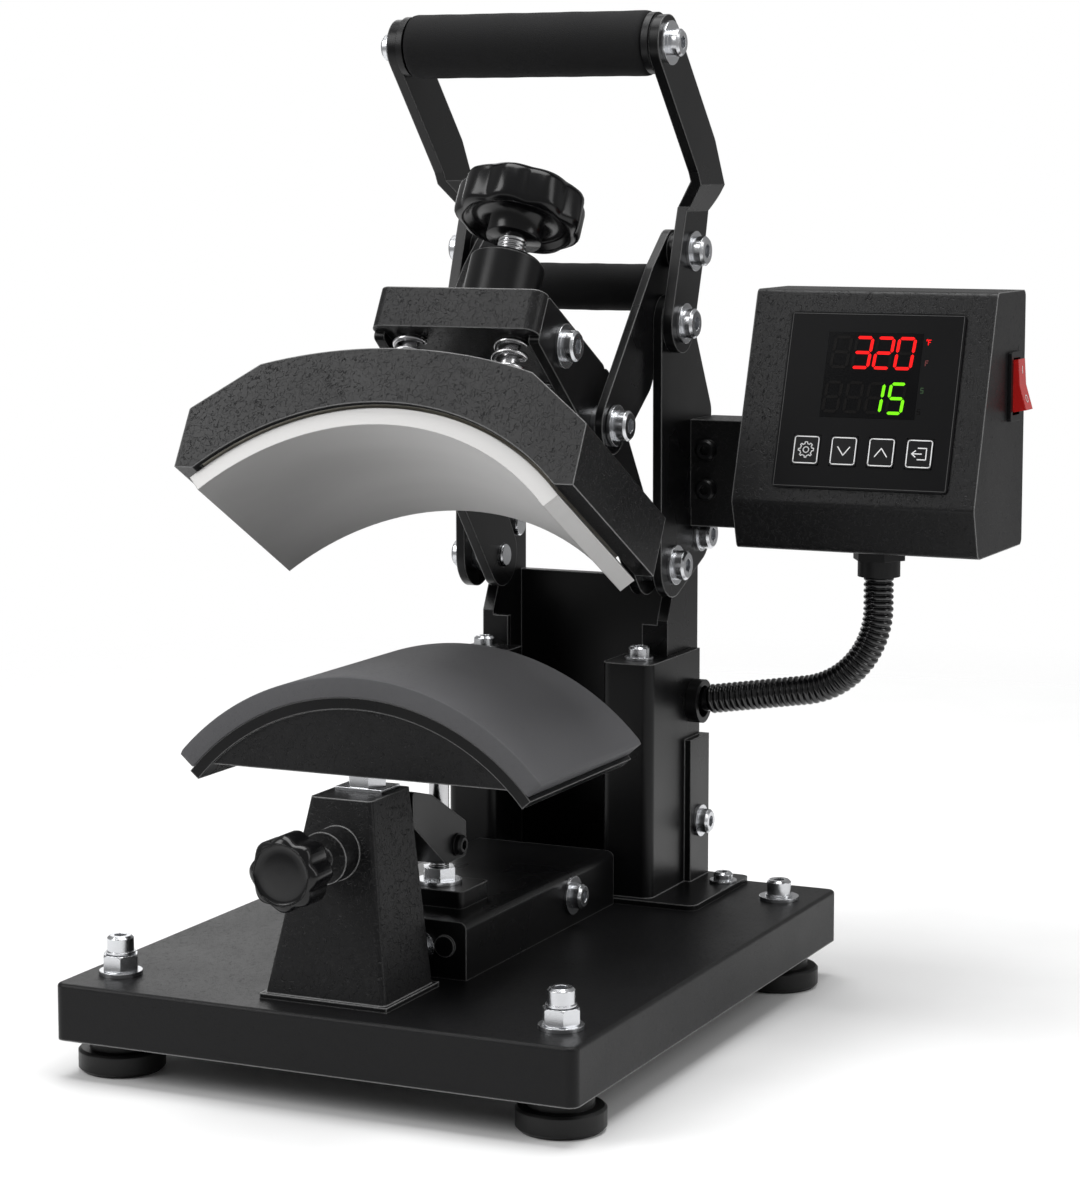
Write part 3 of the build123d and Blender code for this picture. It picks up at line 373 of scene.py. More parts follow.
# %% Coats, metals, plastics and rubbers
# The edge greys of the black coats below paint a highlight on their edges.
COAT = finish("textured black coat", (0.0062, 0.0062, 0.0067), 0.36, 0.04, 1500, 0.6, creases=470, tint=0.12,
              round_edge=0.0009, specular=0.28, painted_edge_highlight=0.34)
BASE_COAT = finish("base plate coat", (0.005, 0.005, 0.0055), 0.4, 0.03, 1500, 0.25, creases=560, tint=0.12,
                   round_edge=0.0010, specular=0.2, painted_edge_highlight=0.34)
SATIN = finish("satin black coat", (0.0048, 0.0048, 0.0052), 0.3, 0.05, 1800, 0.06, tint=0.15,
               round_edge=0.0008, specular=0.24, painted_edge_highlight=0.24)
BRIGHT = finish("bright zinc", (0.66, 0.67, 0.69), 0.26, 0.04, 900, 0.01, metal=1.0, tint=0.10, round_edge=0.0004)
STEEL = finish("ground steel", (0.62, 0.62, 0.63), 0.24, 0.05, 700, 0.02, metal=1.0, tint=0.12, round_edge=0.0003)
BRUSHED = finish("brushed heating plate", (0.50, 0.495, 0.49), 0.5, 0.04, 900, 0.10, metal=0.6, tint=0.10,
                 streak=(0.06, 1.0, 1.0), round_edge=0.0005)
FOAM = finish("foam sleeve", (0.007, 0.007, 0.0075), 0.8, 0.06, 2600, 0.55, specular=0.25)
RUBBER = finish("rubber foot", (0.006, 0.006, 0.006), 0.42, 0.06, 1400, 0.12, round_edge=0.0006, specular=0.3)
SILICONE = finish("grey silicone", (0.092, 0.092, 0.097), 0.66, 0.05, 3200, 0.3, tint=0.08, creases=520, specular=0.4)
GLOSS = finish("gloss black plastic", (0.004, 0.004, 0.0045), 0.22, 0.04, 900, 0.02, round_edge=0.0006, specular=0.35)
TUBE = finish("gloss black tube", (0.004, 0.004, 0.0045), 0.16, 0.03, 900, 0.01, specular=0.7)
PLASTIC = finish("satin black plastic", (0.006, 0.006, 0.0065), 0.36, 0.06, 1600, 0.08, round_edge=0.0004, specular=0.3)
OVERLAY = finish("control overlay", (0.003, 0.003, 0.0035), 0.34, 0.03, 1200, 0.03, tint=0.1, specular=0.1)
WINDOW = finish("smoked window", (0.0015, 0.0015, 0.002), 0.2, 0.03, 600, 0.01, tint=0.1, specular=0.12)
KEY = finish("printed key", (0.0035, 0.0035, 0.004), 0.3, 0.03, 1500, 0.04, tint=0.1, specular=0.2)
RED = finish("red rocker", (0.62, 0.012, 0.010), 0.2, 0.04, 800, 0.02, coat=0.4, tint=0.08, round_edge=0.0005)
FELT = finish("glass fibre felt", (0.55, 0.52, 0.45), 0.9, 0.05, 1800, 0.8)
MICA = finish("mica element", (0.32, 0.29, 0.24), 0.5, 0.08, 500, 0.2)
BOARD = finish("circuit board", (0.012, 0.10, 0.035), 0.4, 0.05, 900, 0.1)
MARK = finish("white print", (0.92, 0.92, 0.92), 0.5, 0.05, 2500, 0.03, tint=0.05)

FINISHES = {
    "black_coat": COAT, "black_satin": SATIN, "bright_bolt": BRIGHT, "steel": STEEL, "heater": BRUSHED,
    "blanket": FELT, "element": MICA, "spring_steel": STEEL, "foam": FOAM, "rubber": RUBBER,
    "silicone": SILICONE, "knob": GLOSS, "plastic": PLASTIC, "panel": OVERLAY, "window": WINDOW,
    "key": KEY, "red": RED, "board": BOARD,
}


# %% Dress the construction parts
def dress(piece, material):
    """Gives a piece one finish."""
    piece.data.materials.clear()
    piece.data.materials.append(material)
    return piece


for part in frame["record"]["subparts"]:
    dress(NODES[part["node"]], FINISHES[part["material_slot"]])
dress(NODES["base_plate"], BASE_COAT)
print("dressed", len(NODES), "construction parts")

# %% [markdown]
# ## The silicone pad
# The pad is an arched slab of silicone foam. Its long edges are cut square with a
# small round. The formula sweeps a rounded rectangle section along the arc: one
# parameter is the angle along the arch, the other runs round the section. It can
# swell the top where the carrier's screws pull it down, but that swell is zero here.

# %% Build the pad
pad_low, pad_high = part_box("silicone_pad")
PAD_R, PAD_T, PAD_HALF_ANGLE, PAD_ROUND = 0.1035, 0.008, math.radians(48.6), 0.0006


def rounded_section(width, height, corner, count):
    """Points round a rectangle with rounded corners, centred on zero: a superellipse-like
    path of four quarter circles joined by straight sides."""
    quarter = np.linspace(0, np.pi / 2, count)
    w, h = width / 2 - corner, height / 2 - corner
    parts = []
    for turn, (cx, cy) in enumerate(((w, h), (-w, h), (-w, -h), (w, -h))):
        a = quarter + turn * np.pi / 2
        parts.append(np.stack([cx + corner * np.cos(a), cy + corner * np.sin(a)], 1))
    ring = np.concatenate(parts)
    dense = [ring]
    closed = np.concatenate([ring, ring[:1]])
    steps = np.diff(closed, axis=0)
    length = np.linalg.norm(steps, axis=1)
    points = [closed[i] + steps[i] * t for i in range(len(steps)) for t in np.linspace(0, 1, max(int(length[i] / 0.004), 1), endpoint=False)]
    return np.array(points)


def arched_slab(name, radius, thick, half_angle, y0, y1, corner, swell, body, inset=0.0):
    """A section in (y, r) carried along an arc of angle a: x = r sin a, z = r cos a."""
    section = rounded_section(y1 - y0, thick, corner, 5)
    middle_y, middle_r = (y0 + y1) / 2, radius - thick / 2
    a = np.linspace(-half_angle, half_angle, 97)
    end = np.clip((half_angle - np.abs(a)) * radius / corner, 0, 1)
    pinch = 1 - (1 - np.sqrt(1 - (1 - end) ** 2)) * corner * 1.2 / thick
    lift = swell * np.cos(a / half_angle * np.pi / 2)[:, None] * np.cos(section[:, 0] / (y1 - y0) * np.pi)[None, :]
    top = (section[:, 1] > 0)[None, :]
    r = middle_r + section[:, 1][None, :] * pinch[:, None] + np.where(top, lift, 0)
    y = middle_y + section[:, 0][None, :] * (1 - (1 - pinch[:, None]) * thick / (y1 - y0))
    x = r * np.sin(a)[:, None]
    z = r * np.cos(a)[:, None]
    points = np.stack([x + MID_X, y + np.zeros_like(x), z + centre_of_arc], -1)
    return grid_piece(name, points, body)


centre_of_arc = pad_high.z - PAD_R
pad = arched_slab("pad_surface", PAD_R - 0.0001, PAD_T - 0.0001, PAD_HALF_ANGLE, pad_low.y, pad_high.y, PAD_ROUND, 0.0, "stand")
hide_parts("silicone_pad")
dress(pad, SILICONE)
print("pad", len(pad.data.polygons), "faces")

# %% [markdown]
# ## Foam grips
# Each grip is a foam tube slid over a steel tube. Its ends are rounded by the
# cut, and its length is slightly uneven, since foam is soft. A profile turned
# about the tube with a slow ripple gives that, and the finish adds the pores.


# %% Build the grips
def foam_tube(name, node, body, inner):
    """Radius is constant, with rounded ends and a ripple of under 0.1 mm along the tube."""
    low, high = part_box(node)
    radius = (high.z - low.z) / 2
    length = high.x - low.x
    corner = 0.0022
    t = np.linspace(0, 1, 90)
    ends = np.clip(np.minimum(t, 1 - t) * length / corner, 0, 1)
    body_r = radius - corner + corner * np.sqrt(1 - (1 - ends) ** 2)
    ripple = 0.00004 * (np.sin(t * 21.0) + np.sin(t * 47.0 + 1.0)) - 0.00008
    outer = np.stack([body_r + ripple * ends, t * length], 1)
    hole = np.array([[inner, length], [inner, 0.0]])
    profile = np.concatenate([[[inner, 0.0]], outer, hole[:1]])
    a = np.linspace(0, 2 * np.pi, 80, endpoint=False)
    centre = np.array((low.x, (low.y + high.y) / 2, (low.z + high.z) / 2))
    points = centre + np.stack([profile[:, 1][:, None] + 0 * a[None, :], profile[:, :1] * np.cos(a), profile[:, :1] * np.sin(a)], -1)
    piece = grid_piece(name, points, body, along=True, caps=False)
    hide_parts(node)
    return dress(piece, FOAM)


foam_tube("handle_foam", "foam_grip", "handle", 0.00905)
foam_tube("link_foam", "link_sleeve", "link", 0.00505)

# %% [markdown]
# ## Threads
# A screw thread is a radius that rises and falls along the axis and shifts with
# the angle: one full turn moves the pattern on by one pitch. The same formula
# makes the pressure screw and the pad's guide rod.


# %% Build the threaded rods
def threaded(name, base, axis, radius, length, pitch, body, material, thread_from=0.0, thread_to=None, depth=0.0006):
    """Radius = r - depth * wave(z / pitch - angle / turn), only between thread_from and thread_to."""
    axis, side, up = frame_of(axis)
    count = 40
    rows = max(int(length / pitch * 8), 24)
    z = np.linspace(0, length, rows)
    a = np.linspace(0, 2 * np.pi, count, endpoint=False)
    phase = (z[:, None] / pitch - a[None, :] / (2 * np.pi)) % 1.0
    wave = np.abs(phase * 2 - 1)
    thread_to = length if thread_to is None else thread_to
    cut = ((z >= thread_from) & (z <= thread_to)).astype(float)[:, None]
    r = radius - depth * wave * cut
    r[0, :] -= 0.0004
    r[-1, :] -= 0.0004
    ring = r[..., None] * (np.cos(a)[:, None] * side + np.sin(a)[:, None] * up)
    points = np.asarray(base, float) + z[:, None, None] * axis + ring
    return dress(grid_piece(name, points, body), material)


SCREW_Y, SCREW_LOW, SCREW_HIGH, SCREW_R, SCREW_PITCH = -0.014, 0.15055, 0.251, 0.006, 0.00175
screw = threaded("screw_thread", tilted((0.0, SCREW_Y, SCREW_LOW)), PLATEN_UP, SCREW_R, SCREW_HIGH - SCREW_LOW,
                 SCREW_PITCH, "press_screw", STEEL, thread_from=0.016)
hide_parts("pressure_screw")

rod_low, rod_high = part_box("guide_rod")
rod_r = (rod_high.x - rod_low.x) / 2
rod = threaded("rod_thread", ((rod_low.x + rod_high.x) / 2, (rod_low.y + rod_high.y) / 2, rod_low.z), (0, 0, 1), rod_r,
               rod_high.z - rod_low.z, 0.00125, "stand", STEEL, thread_to=0.026, depth=0.0005)
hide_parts("guide_rod")

# %% [markdown]
# ## Springs
# Four compression springs stand between the platen and the bridge. A spring is a
# circle carried along a helix, and its end turns lie closer together so that
# they sit flat. The pitch therefore follows a smooth step, not a straight line.
# A real spring shortens towards the bridge as the screw draws the platen up, but
# these coils keep one length.

# %% Build the springs
SPRING_X, SPRING_YS = 0.0225, (-0.037, 0.004)
SPRING_R, WIRE_R, SPRING_TURNS = 0.0062, 0.0011, 5
SPRING_LOW, SPRING_HIGH = 0.1488, 0.1785


def spring(name, x, y):
    t = np.linspace(0, 1, 240)
    a = t * SPRING_TURNS * 2 * np.pi
    low, high = SPRING_LOW + WIRE_R + 0.00005, SPRING_HIGH - WIRE_R - 0.00005
    close = 0.1 * np.sin(2 * np.pi * t) / (2 * np.pi) * 2
    z = low + (high - low) * (t - close)
    path = np.stack([x + SPRING_R * np.cos(a), y + SPRING_R * np.sin(a), z], 1)
    tangent = np.gradient(path, axis=0)
    tangent /= np.linalg.norm(tangent, axis=1)[:, None]
    outward = np.stack([np.cos(a), np.sin(a), 0 * a], 1)
    other = np.cross(tangent, outward)
    c, s = circle(14)
    points = path[:, None] + WIRE_R * (c[None, :, None] * outward[:, None] + s[None, :, None] * other[:, None])
    piece = grid_piece(name, tilted(points), "arm")
    return dress(piece, STEEL)


number = 0
for y in SPRING_YS:
    for side in (-1, 1):
        number += 1
        coil = spring(f"coil_{number}", side * SPRING_X, y)
        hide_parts("springs")
        top = tilted((side * SPRING_X, y, SPRING_HIGH)).tolist()
        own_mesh(coil)
print("springs", number)

# %% [markdown]
# ## Hand knobs
# The knobs are moulded with rounded lobes. Seen from above the rim is a circle
# with a repeating wave, which fades towards the middle. The crown is a shallow
# dome, and a hub with a step reaches down to the screw.


# %% Build the knobs
def knob_profile(rim, low, high, hub_r, hub_low):
    """Radius and height from the hub's foot, through the hollow below, up the rim and over the crown."""
    round_r = (high - low) * 0.22
    a = np.linspace(-np.pi / 2, np.pi / 2, 9)
    lower = [(rim - round_r + round_r * math.cos(v), low + round_r + round_r * math.sin(v)) for v in a[:5]]
    upper = [(rim - round_r + round_r * math.cos(v), high - round_r + round_r * math.sin(v)) for v in a[4:]]
    crown = [(rim * 0.80, high - 0.0001), (rim * 0.74, high - 0.0008), (rim * 0.66, high - 0.0010), (rim * 0.52, high - 0.0007),
             (rim * 0.3, high - 0.0005), (0.0004, high - 0.0004)]
    hollow = low + (high - low) * 0.16
    under = [(hub_r * 0.985, hub_low), (hub_r, hub_low + 0.0006), (hub_r, hollow), (rim * 0.70, hollow + 0.0002),
             (rim * 0.76, hollow - 0.0004), (rim * 0.80, low + 0.0004)]
    return [(0.0004, hub_low)] + under + lower + upper + crown


KNOB_R, KNOB_LOW, KNOB_HIGH, KNOB_LOBES, KNOB_DEPTH = 0.027, 0.242, 0.259, 9, 0.0020
base = tilted((0.0, SCREW_Y, 0.0))
profile = knob_profile(KNOB_R, KNOB_LOW, KNOB_HIGH, 0.0116, 0.2359)
knob = turned("pressure_knob_surface", base, PLATEN_UP, profile, "press_screw", 216, KNOB_LOBES, KNOB_DEPTH, 0.0218)
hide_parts("pressure_knob")
dress(knob, GLOSS)

clamp_low, clamp_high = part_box("clamp_knob")
CLAMP_R, CLAMP_LOBES = 0.0145, 8
centre = ((clamp_low.x + clamp_high.x) / 2, clamp_high.y, (clamp_low.z + clamp_high.z) / 2)
depth_y = clamp_high.y - clamp_low.y
profile = knob_profile(CLAMP_R, depth_y - 0.016, depth_y, 0.0062, 0.0)
knob = turned("clamp_knob_surface", centre, (0, -1, 0), profile, "clamp", 192, CLAMP_LOBES, 0.0017, 0.0112)
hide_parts("clamp_knob")
dress(knob, GLOSS)

# %% [markdown]
# ## The ribbed conduit
# The leads run from the control box to the mast in a corrugated tube. Its path is
# a short drop, one quarter bend and a straight run. The radius repeats along the
# path: a round crest, then a narrow groove.

# %% Build the conduit
CONDUIT_Y, CONDUIT_R, RIB_DEPTH, RIB_PITCH = 0.128, 0.0065, 0.0013, 0.0026
CONDUIT_POINTS = [(0.132, 0.152), (0.132, 0.094), (0.0465, 0.0805)]
CONDUIT_BEND = 0.038


def bent_path(points, bend, count):
    """Two straight runs in (x, z) joined by a tangent arc, sampled evenly by length."""
    a, b, c = (np.array(p, float) for p in points)
    u, v = (a - b) / np.linalg.norm(a - b), (c - b) / np.linalg.norm(c - b)
    half = math.acos(float(np.clip(u @ v, -1, 1))) / 2
    reach = bend / math.tan(half)
    start, end = b + u * reach, b + v * reach
    middle = b + (u + v) / np.linalg.norm(u + v) * bend / math.sin(half)
    first, last = start - middle, end - middle
    turn = math.pi - 2 * half
    t = np.linspace(0, 1, 200)[:, None]
    arc = middle + (np.sin((1 - t) * turn) * first + np.sin(t * turn) * last) / math.sin(turn)
    line = np.concatenate([a + (start - a) * np.linspace(0, 1, 60)[:, None], arc[1:], end + (c - end) * np.linspace(0, 1, 60)[1:, None]])
    along = np.concatenate([[0], np.cumsum(np.linalg.norm(np.diff(line, axis=0), axis=1))])
    even = np.linspace(0, along[-1], count)
    return np.stack([np.interp(even, along, line[:, 0]), np.interp(even, along, line[:, 1])], 1), even


flat, travelled = bent_path(CONDUIT_POINTS, CONDUIT_BEND, 560)
route = np.stack([flat[:, 0] + PRESS.x, np.full(len(flat), CONDUIT_Y + PRESS.y), flat[:, 1] + PRESS.z], 1)
tangent, side, up = path_frames(route)
crest = np.abs(np.cos(np.pi * travelled / RIB_PITCH)) ** 0.6
smooth_end = np.clip(np.minimum(travelled, travelled[-1] - travelled) / 0.010, 0, 1) > 0.99
radius = CONDUIT_R - 0.0001 - RIB_DEPTH * (1 - crest * smooth_end)
c, s = circle(32)
points = route[:, None] + radius[:, None, None] * (c[None, :, None] * side[:, None] + s[None, :, None] * up[:, None])
conduit = grid_piece("conduit_surface", points, "stand")
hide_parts("conduit")
dress(conduit, TUBE)
print("conduit", round(float(travelled[-1]) * 1000, 1), "mm along its path")

# %% [markdown]
# ## The display and its marks
# The panel shows plain numbers: a red set temperature over a green timer. Each
# digit is seven long hexagons. Lit ones glow, and the unlit ones show as a faint
# dark relief. All marks lie a hair above the sloped panel.

# %% A plane for marks
FRONT_RUN, FRONT_RISE = 0.029, 0.087
SLOPE_UP = np.array((0.0, FRONT_RUN, FRONT_RISE)) / math.hypot(FRONT_RUN, FRONT_RISE)
SLOPE_OUT = np.array((0.0, -SLOPE_UP[2], SLOPE_UP[1]))
MARK_LIFT = 0.00006


def middle_of(node):
    low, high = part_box(node)
    return (np.array(low) + np.array(high)) / 2


def flat_marks(name, shapes, anchor, across, upward, outward, lift, body, material, thick=0.00005):
    """shapes is a list of closed outlines in (u, v) metres. Each becomes a thin slab on the plane."""
    points, faces = [], []
    for shape in shapes:
        shape = np.asarray(shape, float)
        area = np.sum(shape[:, 0] * np.roll(shape[:, 1], -1) - np.roll(shape[:, 0], -1) * shape[:, 1])
        shape = shape if area > 0 else shape[::-1]
        n, first = len(shape), len(points)
        spot = anchor + shape[:, :1] * across + shape[:, 1:] * upward
        points.extend((spot + outward * (lift + thick)).tolist())
        points.extend((spot + outward * lift).tolist())
        faces.append([first + k for k in range(n)])
        faces.append([first + n + k for k in range(n)][::-1])
        faces.extend([[first + (k + 1) % n, first + k, first + n + k, first + n + (k + 1) % n] for k in range(n)])
    mesh = bpy.data.meshes.new(name)
    mesh.from_pydata(points, [], faces)
    piece = bpy.data.objects.new(name, mesh)
    bpy.context.scene.collection.objects.link(piece)
    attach(piece, body)
    return dress(piece, material)


def glow(name, colour, strength):
    """A lit segment: its glow drifts a little from end to end, as light in a diffuser does."""
    material = finish(name, colour, 0.4, 0.03, 900, 0.01, tint=0.1, specular=0.1)
    tree = material.node_tree
    shader = tree.nodes["Principled BSDF"]
    noise = tree.nodes.new("ShaderNodeTexNoise")
    noise.inputs["Scale"].default_value = 120.0
    tree.links.new(tree.nodes.new("ShaderNodeTexCoord").outputs["Object"], noise.inputs["Vector"])
    mix = tree.nodes.new("ShaderNodeMix")
    mix.data_type = "RGBA"
    mix.inputs["A"].default_value = (*(c * 0.85 for c in colour), 1)
    mix.inputs["B"].default_value = (*colour, 1)
    tree.links.new(noise.outputs["Fac"], mix.inputs["Factor"])
    tree.links.new(mix.outputs["Result"], shader.inputs["Emission Color"])
    shader.inputs["Emission Strength"].default_value = strength
    return material


LIT_RED = glow("red segments", (0.84, 0.006, 0.006), 0.9)
LIT_GREEN = glow("green segments", (0.15, 0.68, 0.004), 0.9)
UNLIT = finish("unlit segments", (0.0027, 0.0021, 0.0020), 0.25, 0.03, 900, 0.01, tint=0.1, specular=0.12)
DIM_GREEN = finish("dim green mark", (0.012, 0.06, 0.008), 0.4, 0.03, 900, 0.01, tint=0.1)
DIM_RED = finish("dim red mark", (0.16, 0.012, 0.010), 0.4, 0.03, 900, 0.01, tint=0.1)

# %% [markdown]
# Seven segments are named a to g, clockwise from the top with the middle last.
# A digit is the set of segments that it lights, and every digit leans by the
# same small amount, as such displays do.

# %% Seven-segment digits
SEGMENTS = {"a": ((0, 2), (1, 2)), "b": ((1, 2), (1, 1)), "c": ((1, 1), (1, 0)), "d": ((0, 0), (1, 0)),
            "e": ((0, 1), (0, 0)), "f": ((0, 2), (0, 1)), "g": ((0, 1), (1, 1))}
DIGITS = {"0": "abcdef", "1": "bc", "2": "abged", "3": "abgcd", "5": "afgcd"}
DIGIT_LEAN = 0.08


def segment(ends, width, height, thick):
    """A hexagon between two corners of the digit, with its tips cut back."""
    p, q = (np.array((e[0] * width, e[1] * height / 2)) for e in ends)
    along = (q - p) / np.linalg.norm(q - p)
    across = np.array((-along[1], along[0]))
    gap, half = thick * 0.2, thick / 2
    p, q = p + along * gap, q - along * gap
    outline = [p, p + (along + across) * half, q + (-along + across) * half, q, q - (along + across) * half, p + (along - across) * half]
    outline = np.array(outline)
    outline[:, 0] += outline[:, 1] * DIGIT_LEAN
    return outline


def digits(name, text, right, low, width, height, pitch, thick, lit):
    """Writes a number so that its last digit ends at right."""
    on, off = [], []
    for place, digit in enumerate(text):
        left = right - width - (len(text) - 1 - place) * pitch
        for label, ends in SEGMENTS.items():
            shape = segment(ends, width, height, thick) + (left, low)
            (on if label in DIGITS.get(digit, "") else off).append(shape)
    flat_marks(name + "_lit", on, WINDOW_MID, ACROSS, SLOPE_UP, SLOPE_OUT, WINDOW_LIFT, "stand", lit)
    flat_marks(name + "_unlit", off, WINDOW_MID, ACROSS, SLOPE_UP, SLOPE_OUT, WINDOW_LIFT, "stand", UNLIT)


ACROSS = np.array((1.0, 0.0, 0.0))
WINDOW_MID = middle_of("display_window")
WINDOW_LIFT = 0.00045 + MARK_LIFT
digits("temperature", " 320", 0.0163, 0.0032, 0.0068, 0.0128, 0.0092, 0.0013, LIT_RED)
digits("timer", "  15", 0.0144, -0.0158, 0.0062, 0.0124, 0.0092, 0.0013, LIT_GREEN)

# %% Small unit marks beside the digits
def stroke(path, width, closed=False):
    """Thin quads along a line of (u, v) points, each a little long so that corners meet."""
    path = np.asarray(path, float)
    ends = np.roll(path, -1, axis=0) if closed else path[1:]
    starts = path if closed else path[:-1]
    shapes = []
    for p, q in zip(starts, ends):
        along = (q - p) / np.linalg.norm(q - p)
        across = np.array((-along[1], along[0])) * width / 2
        p, q = p - along * width * 0.35, q + along * width * 0.35
        shapes.append([p - across, q - across, q + across, p + across])
    return shapes


def letter_f(u, v, h):
    return stroke([(u, v), (u, v + h)], h * 0.16) + stroke([(u, v + h), (u + h * 0.5, v + h)], h * 0.16) + \
        stroke([(u, v + h * 0.55), (u + h * 0.4, v + h * 0.55)], h * 0.16)


def letter_s(u, v, h):
    w = h * 0.5
    return stroke([(u + w, v + h), (u, v + h), (u, v + h / 2), (u + w, v + h / 2), (u + w, v), (u, v)], h * 0.16)


def degree(u, v, r):
    a = np.linspace(0, 2 * np.pi, 10, endpoint=False)
    return stroke(np.stack([u + r * np.cos(a), v + r * np.sin(a)], 1), r * 0.6, closed=True)


UNIT_U, UNIT_H = 0.0229, 0.0021
PANEL_LIFT = 0.00035 + MARK_LIFT
unit_marks = (("unit_f", degree(UNIT_U - 0.0006, 0.0155, 0.0003) + letter_f(UNIT_U, 0.0135, UNIT_H), LIT_RED),
              ("unit_f_dim", letter_f(UNIT_U - 0.0003, 0.0047, UNIT_H), DIM_RED),
              ("unit_s", letter_s(UNIT_U - 0.0010, -0.0069, UNIT_H), DIM_GREEN),
              ("unit_s_dim", letter_s(UNIT_U - 0.0014, -0.0158, UNIT_H), UNLIT))
for name, shapes, material in unit_marks:
    flat_marks(name, shapes, WINDOW_MID, ACROSS, SLOPE_UP, SLOPE_OUT, PANEL_LIFT, "stand", material)

# %% [markdown]
# ## Key icons
# Four membrane keys carry plain line icons in white: a cog for set-up, arrows for
# down and up, and a hooked arrow for enter. Each rides on its own key, so that it
# moves when the key is pressed.


# %% Draw the icons
def arc_points(cx, cy, r, start, end, count):
    a = np.radians(np.linspace(start, end, count))
    return np.stack([cx + r * np.cos(a), cy + r * np.sin(a)], 1)


def key_frame(w, h, corner):
    parts = [arc_points(sx * (w - corner), sy * (h - corner), corner, a0, a0 + 90, 5)
             for sx, sy, a0 in ((1, 1, 0), (-1, 1, 90), (-1, -1, 180), (1, -1, 270))]
    return stroke(np.concatenate(parts), KEY_LINE, closed=True)


def cog(r):
    a = np.linspace(0, 2 * np.pi, 65)[:-1]
    tooth = np.where(np.cos(a * 8) > 0, 1.0, 0.78)
    rim = np.stack([r * tooth * np.cos(a), r * tooth * np.sin(a)], 1)
    return stroke(rim, KEY_LINE, closed=True) + stroke(arc_points(0, 0, r * 0.36, 0, 345, 24), KEY_LINE, closed=True)


KEY_LINE = 0.00044
ICONS = [
    cog(0.0033),
    stroke([(-0.0026, 0.0017), (0, -0.0018), (0.0026, 0.0017)], KEY_LINE),
    stroke([(-0.0026, -0.0018), (0, 0.0017), (0.0026, -0.0018)], KEY_LINE),
    stroke([(-0.0006, 0.0024), (0.0030, 0.0024), (0.0030, -0.0024), (-0.0006, -0.0024)], KEY_LINE)
    + stroke([(-0.0030, 0.0), (0.0010, 0.0)], KEY_LINE)
    + stroke([(-0.0016, 0.0013), (-0.0032, 0.0), (-0.0016, -0.0013)], KEY_LINE),
]
for index, icon in enumerate(ICONS, 1):
    low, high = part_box(f"key_{index}")
    half_w = (high.x - low.x) / 2
    half_h = (high.z - low.z) / 2 / SLOPE_UP[2] * 0.985
    shapes = icon + key_frame(half_w - 0.0005, half_h - 0.0007, 0.0010)
    flat_marks(f"key_mark_{index}", shapes, middle_of(f"key_{index}"), ACROSS, SLOPE_UP, SLOPE_OUT, 0.00035 + MARK_LIFT,
               f"key_{index}", MARK)

panel_mid = middle_of("membrane_panel")
panel_low, panel_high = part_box("membrane_panel")
OUTLINE_INSET = 0.0009
half_w = (panel_high.x - panel_low.x) / 2 - OUTLINE_INSET
half_h = (panel_high.z - panel_low.z) / 2 / SLOPE_UP[2] - OUTLINE_INSET
corners = np.array([(1, 1), (-1, 1), (-1, -1), (1, -1)]) * (half_w, half_h)
GREY_MARK = finish("grey hairline", (0.05, 0.05, 0.05), 0.5, 0.05, 2500, 0.03, tint=0.05)
flat_marks("panel_outline", stroke(corners, 0.00025, closed=True), panel_mid, ACROSS, SLOPE_UP, SLOPE_OUT,
           0.0004 + MARK_LIFT, "stand", GREY_MARK)

# %% [markdown]
# ## The rocker's marks
# A line for on and a ring for off are moulded in the red rocker, one on each half
# of its face. The face leans, so the marks lie on a plane that leans with it.

# %% Mark the rocker
rocker_low, rocker_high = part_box("rocker")
ROCKER_MID = np.array((MID_X + 0.185, (rocker_low.y + rocker_high.y) / 2, (rocker_low.z + rocker_high.z) / 2))
ROCKER_REST = math.radians(-10.0)
FACE_LEAN = math.atan2(0.0012, 0.0107)


def rocker_spot(height, lean):
    """A point and directions on one half of the rocker's face, after the rocker's own tilt."""
    out = 0.0044 + abs(height) * math.tan(abs(lean))
    x = out * math.cos(ROCKER_REST) + height * math.sin(ROCKER_REST)
    z = -out * math.sin(ROCKER_REST) + height * math.cos(ROCKER_REST)
    turn = ROCKER_REST + lean
    return (ROCKER_MID * (0, 1, 0) + np.array((ROCKER_MID[0] + x, 0, ROCKER_PIVOT_Z + z)),
            np.array((math.sin(turn), 0, math.cos(turn))), np.array((math.cos(turn), 0, -math.sin(turn))))


ROCKER_PIVOT_Z = float(np.array(JOINTS["power_rocker"]["pos_m"])[2])
SIDEWAYS = np.array((0.0, 1.0, 0.0))
line_spot, line_up, line_out = rocker_spot(0.0062, FACE_LEAN)
flat_marks("mark_on", stroke([(0, -0.0014), (0, 0.0014)], 0.0005), line_spot, SIDEWAYS, line_up, line_out, 0.00008, "rocker", MARK)
ring_spot, ring_up, ring_out = rocker_spot(-0.0060, -FACE_LEAN)
ring = stroke(arc_points(0, 0, 0.0014, 0, 345, 24), 0.0005, closed=True)
flat_marks("mark_off", ring, ring_spot, SIDEWAYS, ring_up, ring_out, 0.00008, "rocker", MARK)

# %% [markdown]
# ## Floor and light
# The press stands on white paper. The paper thins out with distance, so that it
# melts into the white that the camera sees behind it, and only the shadow stays.
# Large soft lamps give the long highlights along the black edges, and a painted
# highlight in the coats' colour adds to them.

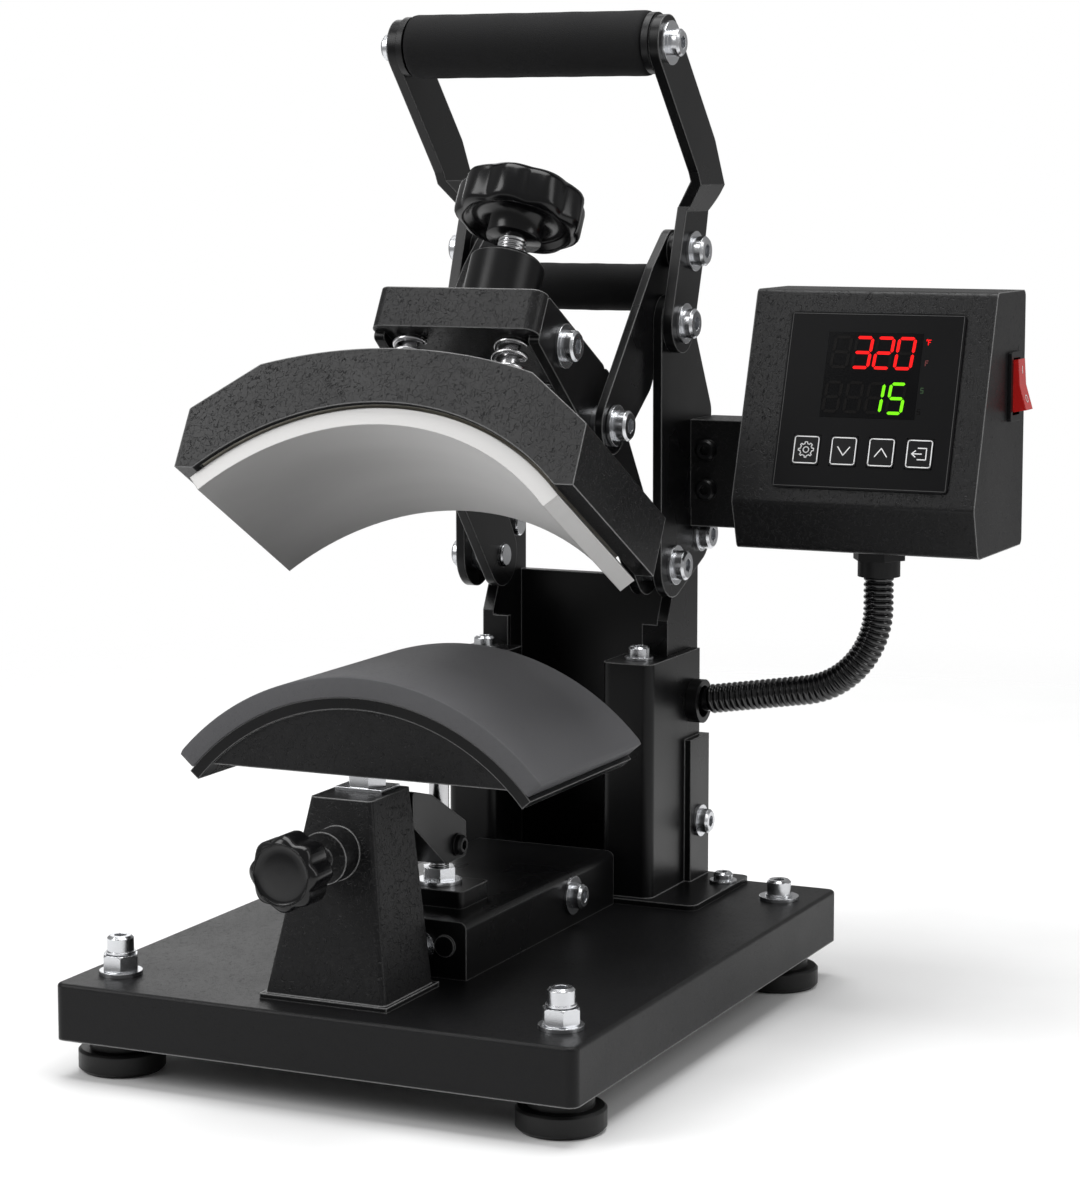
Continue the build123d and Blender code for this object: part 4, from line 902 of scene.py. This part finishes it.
# %% Lay the paper
PAPER_R, FADE_FROM, FADE_TO = 1.6, 0.45, 1.1
ring_r = np.linspace(0.002, PAPER_R, 24)
c, s = circle(64)
disc = np.stack([ring_r[:, None] * c, ring_r[:, None] * s, np.full((24, 64), -0.0002)], -1)
rows, columns = disc.shape[:2]
i, j = np.meshgrid(np.arange(rows - 1), np.arange(columns), indexing="ij")
j2 = (j + 1) % columns
quads = np.stack([i * columns + j, (i + 1) * columns + j, (i + 1) * columns + j2, i * columns + j2], -1).reshape(-1, 4)
mesh = bpy.data.meshes.new("paper")
mesh.from_pydata(disc.reshape(-1, 3).tolist(), [], quads.tolist() + [list(range(columns))])
paper = bpy.data.objects.new("paper", mesh)
bpy.context.scene.collection.objects.link(paper)
white = finish("white paper", (0.95, 0.95, 0.95), 0.6, 0.03, 300, 0.02, tint=0.01, specular=0.1)
tree = white.node_tree
away = tree.nodes.new("ShaderNodeVectorMath")
away.operation = "LENGTH"
tree.links.new(tree.nodes.new("ShaderNodeTexCoord").outputs["Object"], away.inputs[0])
tree.links.new(map_range(tree, away.outputs["Value"], FADE_FROM, FADE_TO, 1.0, 0.0), tree.nodes["Principled BSDF"].inputs["Alpha"])
paper.data.materials.append(white)


# %% Hang the lamps
def lamp(name, place, target, size, power):
    data = bpy.data.lights.new(name, "AREA")
    data.shape = "RECTANGLE"
    data.size, data.size_y = size
    data.energy = power
    light = bpy.data.objects.new(name, data)
    light.location = place
    light.rotation_euler = (Vector(target) - Vector(place)).to_track_quat("-Z", "Y").to_euler()
    bpy.context.scene.collection.objects.link(light)


AIM = (0.0, 0.0, 0.2)
lamp("key_lamp", (-1.1, -1.2, 1.3), AIM, (0.8, 1.2), 16)
lamp("right_lamp", (1.5, 0.1, 0.9), AIM, (0.5, 1.4), 6)
lamp("top_lamp", (0.0, 0.1, 1.8), AIM, (1.4, 1.2), 26)
lamp("back_lamp", (-0.9, 1.3, 0.9), AIM, (0.6, 1.4), 3)

WORLD_LIGHT = 0.3
world = bpy.data.worlds.new("studio")
bpy.context.scene.world = world
world.use_nodes = True
tree = world.node_tree
background = tree.nodes["Background"]
background.inputs["Color"].default_value = (1, 1, 1, 1)
path = tree.nodes.new("ShaderNodeLightPath")
seen = math_node(tree, "MAXIMUM", path.outputs["Is Camera Ray"], path.outputs["Is Transmission Ray"])
tree.links.new(map_range(tree, seen, 0.0, 1.0, WORLD_LIGHT, 1.0), background.inputs["Strength"])
bpy.context.scene.view_settings.view_transform = "Standard"
